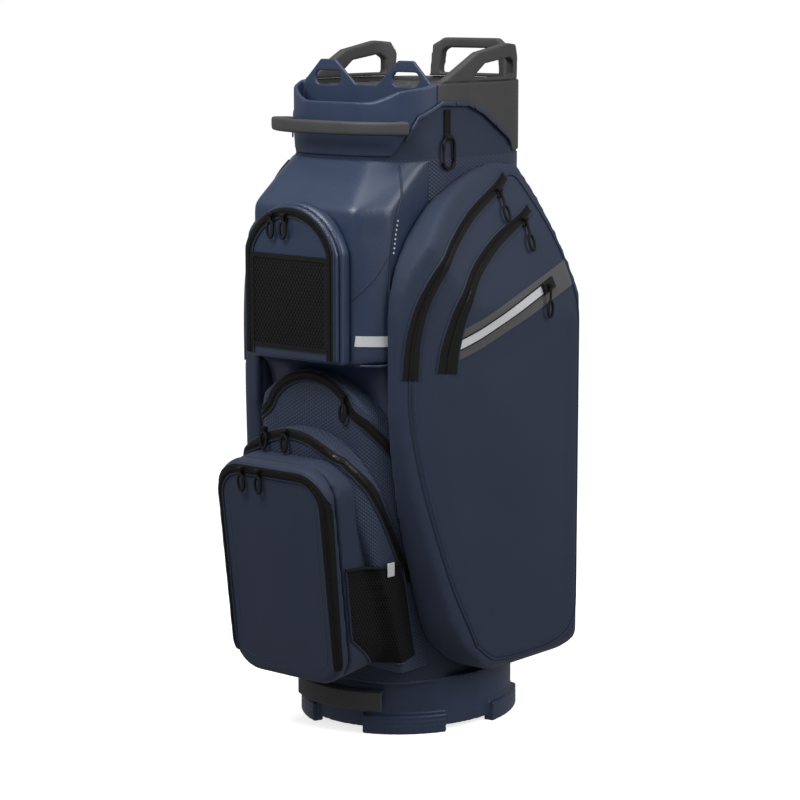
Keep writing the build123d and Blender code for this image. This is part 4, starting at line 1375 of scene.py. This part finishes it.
class MakeMeshPouches(Piece):
    """Sew the stretch mesh pouches low on both sides."""

    bl_idname = "cart_bag.mesh_pouches"
    bl_label = "Mesh pouches"

    def execute(self, context):
        for side, name in ((1, "right"), (-1, "left")):
            surface = Face([SURFACES["second_pocket"], SURFACES["mid_pocket"],
                            SURFACES["ball_pocket"]], "YZ", side)
            columns, rows = 36, 44
            heights = (0, 0.32, 1)
            ahead = np.array([(-172, 104), (-231, 152), (-242, 246)])
            behind = np.array([(-124, 114), (-132, 152), (-150, 243)])
            points = []
            for layer in (0, 1):
                for j in range(rows + 1):
                    v = j / rows
                    a = [np.interp(v, heights, ahead[:, i]) for i in (0, 1)]
                    b = [np.interp(v, heights, behind[:, i]) for i in (0, 1)]
                    spots = [flat([(a[0] + (b[0] - a[0]) * i / columns,
                                    a[1] + (b[1] - a[1]) * i / columns)])[0]
                             for i in range(columns + 1)]
                    hits = [surface.on(spot) for spot in spots]
                    solid = np.array([abs(h[0].x) if h else 0.0 for h in hits])
                    reach = solid.copy()
                    for _ in range(14):
                        reach = np.maximum(solid, np.convolve(np.pad(reach, 1, "edge"),
                                                              (0.25, 0.5, 0.25), "valid"))
                    for i, spot in enumerate(spots):
                        u = i / columns
                        swell = sin(pi * u) ** 0.6 if 0 < u < 1 else 0.0
                        swell *= 0.3 + 0.7 * sin(pi * min(max(v, 0.02), 0.9)) ** 0.6
                        lift = 0.0008 + 0.0045 * swell - (0.0 if layer else 0.0012)
                        points.append(Vector((side * (reach[i] + lift), spot[0], spot[1])))
            wide, size = columns + 1, (rows + 1) * (columns + 1)
            pouch = from_data("mesh_pouch_" + name, points, slab_faces(columns, rows), "mesh", 60)
            attach(pouch, "bag", "black_fabric", *(["lower_mesh_pockets"] if side > 0 else []))
            top = [points[size + rows * wide + i] for i in range(wide)]
            hem = attach(tube("pouch_hem_" + name, top, 0.0024, "tape"), "bag", "black_fabric")
            edge = ([points[size + j * wide] for j in range(rows, -1, -1)]
                    + [points[size + i] for i in range(1, wide)]
                    + [points[size + j * wide + columns] for j in range(1, rows + 1)])
            piping = attach(tube("pouch_piping_" + name, edge, 0.0016, "piping"), "bag",
                            "navy_fabric")
            mid = top[int(columns * 0.62)]
            tab = prism("pouch_tab_" + name, [(0, 0), (2, 0), (2, 13), (0, 13)], 0, 18)
            write_points(tab.data, read_points(tab.data) * [side, 1, 1]
                         + [mid.x + side * 0.0015, mid.y - SHIFT_Y, mid.z - 0.013])
            outward(tab.data)
            tab.data.materials[0] = MATERIALS["pale"]
            edge = tab.modifiers.new("edge", "BEVEL")
            edge.width, edge.segments = 0.0006, 2
            bake_modifiers(tab)
            attach(tab, "bag", "white_reflective")
        return {"FINISHED"}


class MakeSideZips(Piece):
    """Sew the apparel pockets' zips, the slanted pocket and the piping round them."""

    bl_idname = "cart_bag.side_zips"
    bl_label = "Side zips"

    def execute(self, context):
        for name in ("right", "left"):
            surface = SURFACES[name]
            zip_on("outer_zip_" + name, surface, dense(flat(OUTER_ZIP)), flare=(0.012, 0.016))
            zip_on("inner_zip_" + name, surface, dense(flat(INNER_ZIP)), flare=(0.011, 0.026))
            for tag, line in (("edge", FRONT_EDGE), ("rim", POCKET_RIM)):
                attach(piping_on(f"side_{tag}_piping_{name}", surface, dense(flat(line)),
                                 sizes().piping), "bag", "navy_fabric")
                stitches(f"side_{tag}_stitches_{name}", surface, dense(flat(line)), 0.005)
            self.slanted(name, surface)
        return {"FINISHED"}

    def slanted(self, name, surface):
        low, high = np.array(flat(SLANT_LOW)), np.array(flat(SLANT_HIGH))
        points = []
        columns, rows = 90, 12
        for side in (0, 1):
            for j in range(rows + 1):
                for i in range(columns + 1):
                    u, v = i / columns, j / rows
                    spot = (low[0] * (1 - u) + low[1] * u) * (1 - v) + (high[0] * (1 - u)
                                                                         + high[1] * u) * v
                    hit = surface.on(spot)
                    points.append(hit[0] + hit[1] * (0.0008 if side else -0.0006))
        cloth = from_data("slanted_band_" + name, points, slab_faces(columns, rows), "grey_cloth",
                          60)
        attach(cloth, "bag", "grey_fabric", *(["slanted_zip_bands"] if name == "right" else []))
        line = dense(flat(SLANT_ZIP))
        strip = band("slanted_zip_" + name, surface, line, 0.0105, "pale", 0.0008, 0.0008)
        attach(strip, "bag", "white_reflective")
        garage = band("slanted_garage_" + name, surface, dense(flat([(58, 587), (84, 596)])), 0.015,
                      "teeth", 0.0016, 0.0022)
        attach(garage, "bag", "black_fabric")
        for tag, offset in (("low", -0.0062), ("high", 0.0062)):
            rows_found = lay(surface, line, [offset], 0.001)
            path = [row[0][0] for row in rows_found if row[0]]
            attach(tube(f"slanted_{tag}_lip_{name}", path, 0.0009, "tape"), "bag", "black_fabric")
        for tag, edge in (("low", SLANT_LOW), ("high", SLANT_HIGH)):
            stitches(f"slanted_{tag}_stitches_{name}", surface, dense(flat(edge)),
                     0.002 if tag == "low" else -0.002, material="thread")


class MakeFrontZips(Piece):
    """Sew the zips of the two arched front pockets."""

    bl_idname = "cart_bag.front_zips"
    bl_label = "Front zips"

    def execute(self, context):
        arches = {"mid_pocket": (arch_line(88.8, 300, 405, 492, 6.5), -200, 432,
                                 [(106, -192, 418), (113.5, -176, 400), (113.5, -158, 380)]),
                  "second_pocket": (arch_line(92.8, 300, 366, 420, 6.5), -238, 396,
                                    [(103, -226, 372), (113.5, -206, 344), (113.5, -184, 306),
                                     (113.5, -160, 262), (113.5, -137, 216)])}
        for node, (arch, face_y, least, tail) in arches.items():
            front_part = [(x, face_y, z) for x, z in arch if z > least][::4]
            left = [(-x, y, z) for x, y, z in reversed(tail)]
            path = [bag(*p) for p in left + front_part + tail]
            pieces = wrapped_zip(node + "_zip", Skin([SURFACES[node]]), path, 0.0125)
            if node == "mid_pocket":
                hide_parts("front_zip_tapes")
        return {"FINISHED"}


class MakeTrims(Piece):
    """Sew the piping, stitching and reflective trims of the front."""

    bl_idname = "cart_bag.trims"
    bl_label = "Front trims"

    def execute(self, context):
        surface = Face([SURFACES["panel"]], "XZ", -1)
        skin = Skin([SURFACES["panel"]])
        for side, name in ((1, "right"), (-1, "left")):
            seam = dense([bag(side * x, y, z) for x, y, z in
                          ((100, -139, 764), (108, -146, 730), (113, -163, 690), (113, -172, 640),
                           (113, -174, 580), (113, -174, 510))])
            path = [row[0][0] for row in skin.rows(seam, [0.0], [0.0005])]
            attach(tube("panel_piping_" + name, path, sizes().piping, "piping"), "bag",
                   "navy_fabric")
            dots = skin.rows(seam[(seam[:, 2] < 0.694) & (seam[:, 2] > 0.646)][::2], [side * 0.004],
                             [0.0004])
            spots = [(row[0][0], row[0][1], Vector((0, 0, 1))) for row in dots]
            attach(row_of("panel_dots_" + name, spots, (0.0022, 0.0022, 0.0012), "pale_thread"),
                   "bag", "white_reflective")
            seam = dense([bag(side * x, y, z) for x, y, z in
                          ((85, -215, 592), (94, -205, 604), (104, -190, 622), (112, -176, 646))])
            path = [row[0][0] for row in skin.rows(seam, [0.0], [0.0002])]
            attach(tube("panel_seam_" + name, path, sizes().piping * 0.7, "piping"), "bag",
                   "navy_fabric")
            line = dense(front([(side * 86, 539), (side * 98, 538), (side * 111, 537)]), 0.002)
            strip = band("reflective_trim_" + name, surface, line, 0.0135, "pale", 0.0004, 0.0008)
            attach(strip, "bag", "white_reflective",
                   *(["reflective_bands"] if side > 0 else []))
        return {"FINISHED"}


class MakeClip(Piece):
    """Finish the towel clip and its webbing."""

    bl_idname = "cart_bag.clip"
    bl_label = "Towel clip"

    def execute(self, context):
        moulding("clip_webbing", "tape", "bag", "black_fabric", 0.0008, 2)
        moulding("clip_hook", "metal", "clip_hook", "black_metal", 0.0005, 2)
        moulding("clip_gate", "metal", "clip_gate", "black_metal", 0.0004, 1)
        return {"FINISHED"}


class MakePulls(Piece):
    """Finish every zip slider and its pull."""

    bl_idname = "cart_bag.pulls"
    bl_label = "Sliders and pulls"

    def execute(self, context):
        for node in sorted(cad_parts):
            if node.endswith("_slider"):
                moulding(node, "metal", node, "black_metal", 0.0004, 1)
            elif node.endswith("_pull"):
                moulding(node, "cord", node, "black_fabric", 0.0005, 4, 0.0005)
        return {"FINISHED"}


class MakeStage(Piece):
    """Set the floor, the studio light and the camera."""

    bl_idname = "cart_bag.stage"
    bl_label = "Stage"

    def execute(self, context):
        scene = context.scene
        centre = Vector((-0.0095, 0.0591, 0.4278))
        floor_mesh = bpy.data.meshes.new("floor")
        reach = 400
        corners = [(-reach, -reach, 0), (reach, -reach, 0), (reach, reach, 0), (-reach, reach, 0)]
        floor_mesh.from_pydata(corners, [], [(0, 1, 2, 3)])
        floor = bpy.data.objects.new("floor", floor_mesh)
        scene.collection.objects.link(floor)
        paper = bpy.data.materials.new("paper")
        paper.use_nodes = True
        sockets = paper.node_tree.nodes["Principled BSDF"].inputs
        sockets["Base Color"].default_value = (0.86, 0.86, 0.87, 1)
        sockets["Roughness"].default_value = 0.9
        sockets["Emission Color"].default_value = (1, 1, 1, 1)
        sockets["Emission Strength"].default_value = 0.75
        floor_mesh.materials.append(paper)
        floor.visible_diffuse = floor.visible_glossy = False
        world = scene.world or bpy.data.worlds.new("studio")
        scene.world = world
        world.use_nodes = True
        sky = world.node_tree.nodes["Background"]
        sky.inputs["Color"].default_value = (1, 1, 1, 1)
        sky.inputs["Strength"].default_value = 0.3
        scene.view_settings.view_transform = "Standard"
        azimuth, rise, distance = radians(40), radians(9.3), 3.4792
        back = Vector((sin(azimuth) * cos(rise), -cos(azimuth) * cos(rise), sin(rise)))
        for name, turn, tilt, away, power, size in (("key", -42, 48, 1.9, 29, 0.9),
                                                    ("side", 58, 30, 2.6, 38, 1.6),
                                                    ("top", 10, 84, 1.7, 10, 1.2)):
            light = bpy.data.lights.new(name, "AREA")
            light.energy, light.size = power, size
            lamp = bpy.data.objects.new(name, light)
            a, e = azimuth + radians(turn), radians(tilt)
            way = Vector((sin(a) * cos(e), -cos(a) * cos(e), sin(e)))
            lamp.location = centre + way * away
            lamp.rotation_euler = way.to_track_quat("Z", "Y").to_euler()
            scene.collection.objects.link(lamp)
        lens = bpy.data.cameras.new("camera")
        lens.lens, lens.sensor_width = 114.8, 36
        camera = bpy.data.objects.new("camera", lens)
        camera.location = centre + back * distance
        camera.rotation_euler = back.to_track_quat("Z", "Y").to_euler()
        scene.collection.objects.link(camera)
        scene.camera = camera
        return {"FINISHED"}


PIECES = (MakeFinishes, MakeShellCover, MakeBackPanel, MakeBase, MakeCuff, MakeDivider,
          MakeSidePockets, MakeUpperPanel, MakeWaist, MakeFrontPockets, MakeBallPocket,
          MakeValuablesPocket, MakeMeshPouches, MakeSideZips, MakeFrontZips, MakeTrims, MakeClip,
          MakePulls, MakeStage)


class CartBagPanel(bpy.types.Panel):
    """Lists the steps that build the bag."""

    bl_idname = "VIEW3D_PT_cart_bag"
    bl_label = "Cart bag"
    bl_space_type = "VIEW_3D"
    bl_region_type = "UI"
    bl_category = "Cart bag"

    def draw(self, context):
        for group in (context.scene.cart_bag_colours, context.scene.cart_bag_sizes):
            for name in group.bl_rna.properties.keys():
                if name not in ("rna_type", "name"):
                    self.layout.prop(group, name)
        for piece in PIECES:
            self.layout.operator(piece.bl_idname)


CLASSES = (CartBagColours, CartBagSizes) + PIECES + (CartBagPanel,)


def register():
    for item in CLASSES:
        bpy.utils.register_class(item)
    bpy.types.Scene.cart_bag_colours = PointerProperty(type=CartBagColours)
    bpy.types.Scene.cart_bag_sizes = PointerProperty(type=CartBagSizes)


def unregister():
    del bpy.types.Scene.cart_bag_sizes
    del bpy.types.Scene.cart_bag_colours
    for item in reversed(CLASSES):
        bpy.utils.unregister_class(item)


def main():
    register()
    for piece in PIECES:
        group, call = piece.bl_idname.split(".")
        getattr(getattr(bpy.ops, group), call)()


if __name__ == "__main__":
    main()
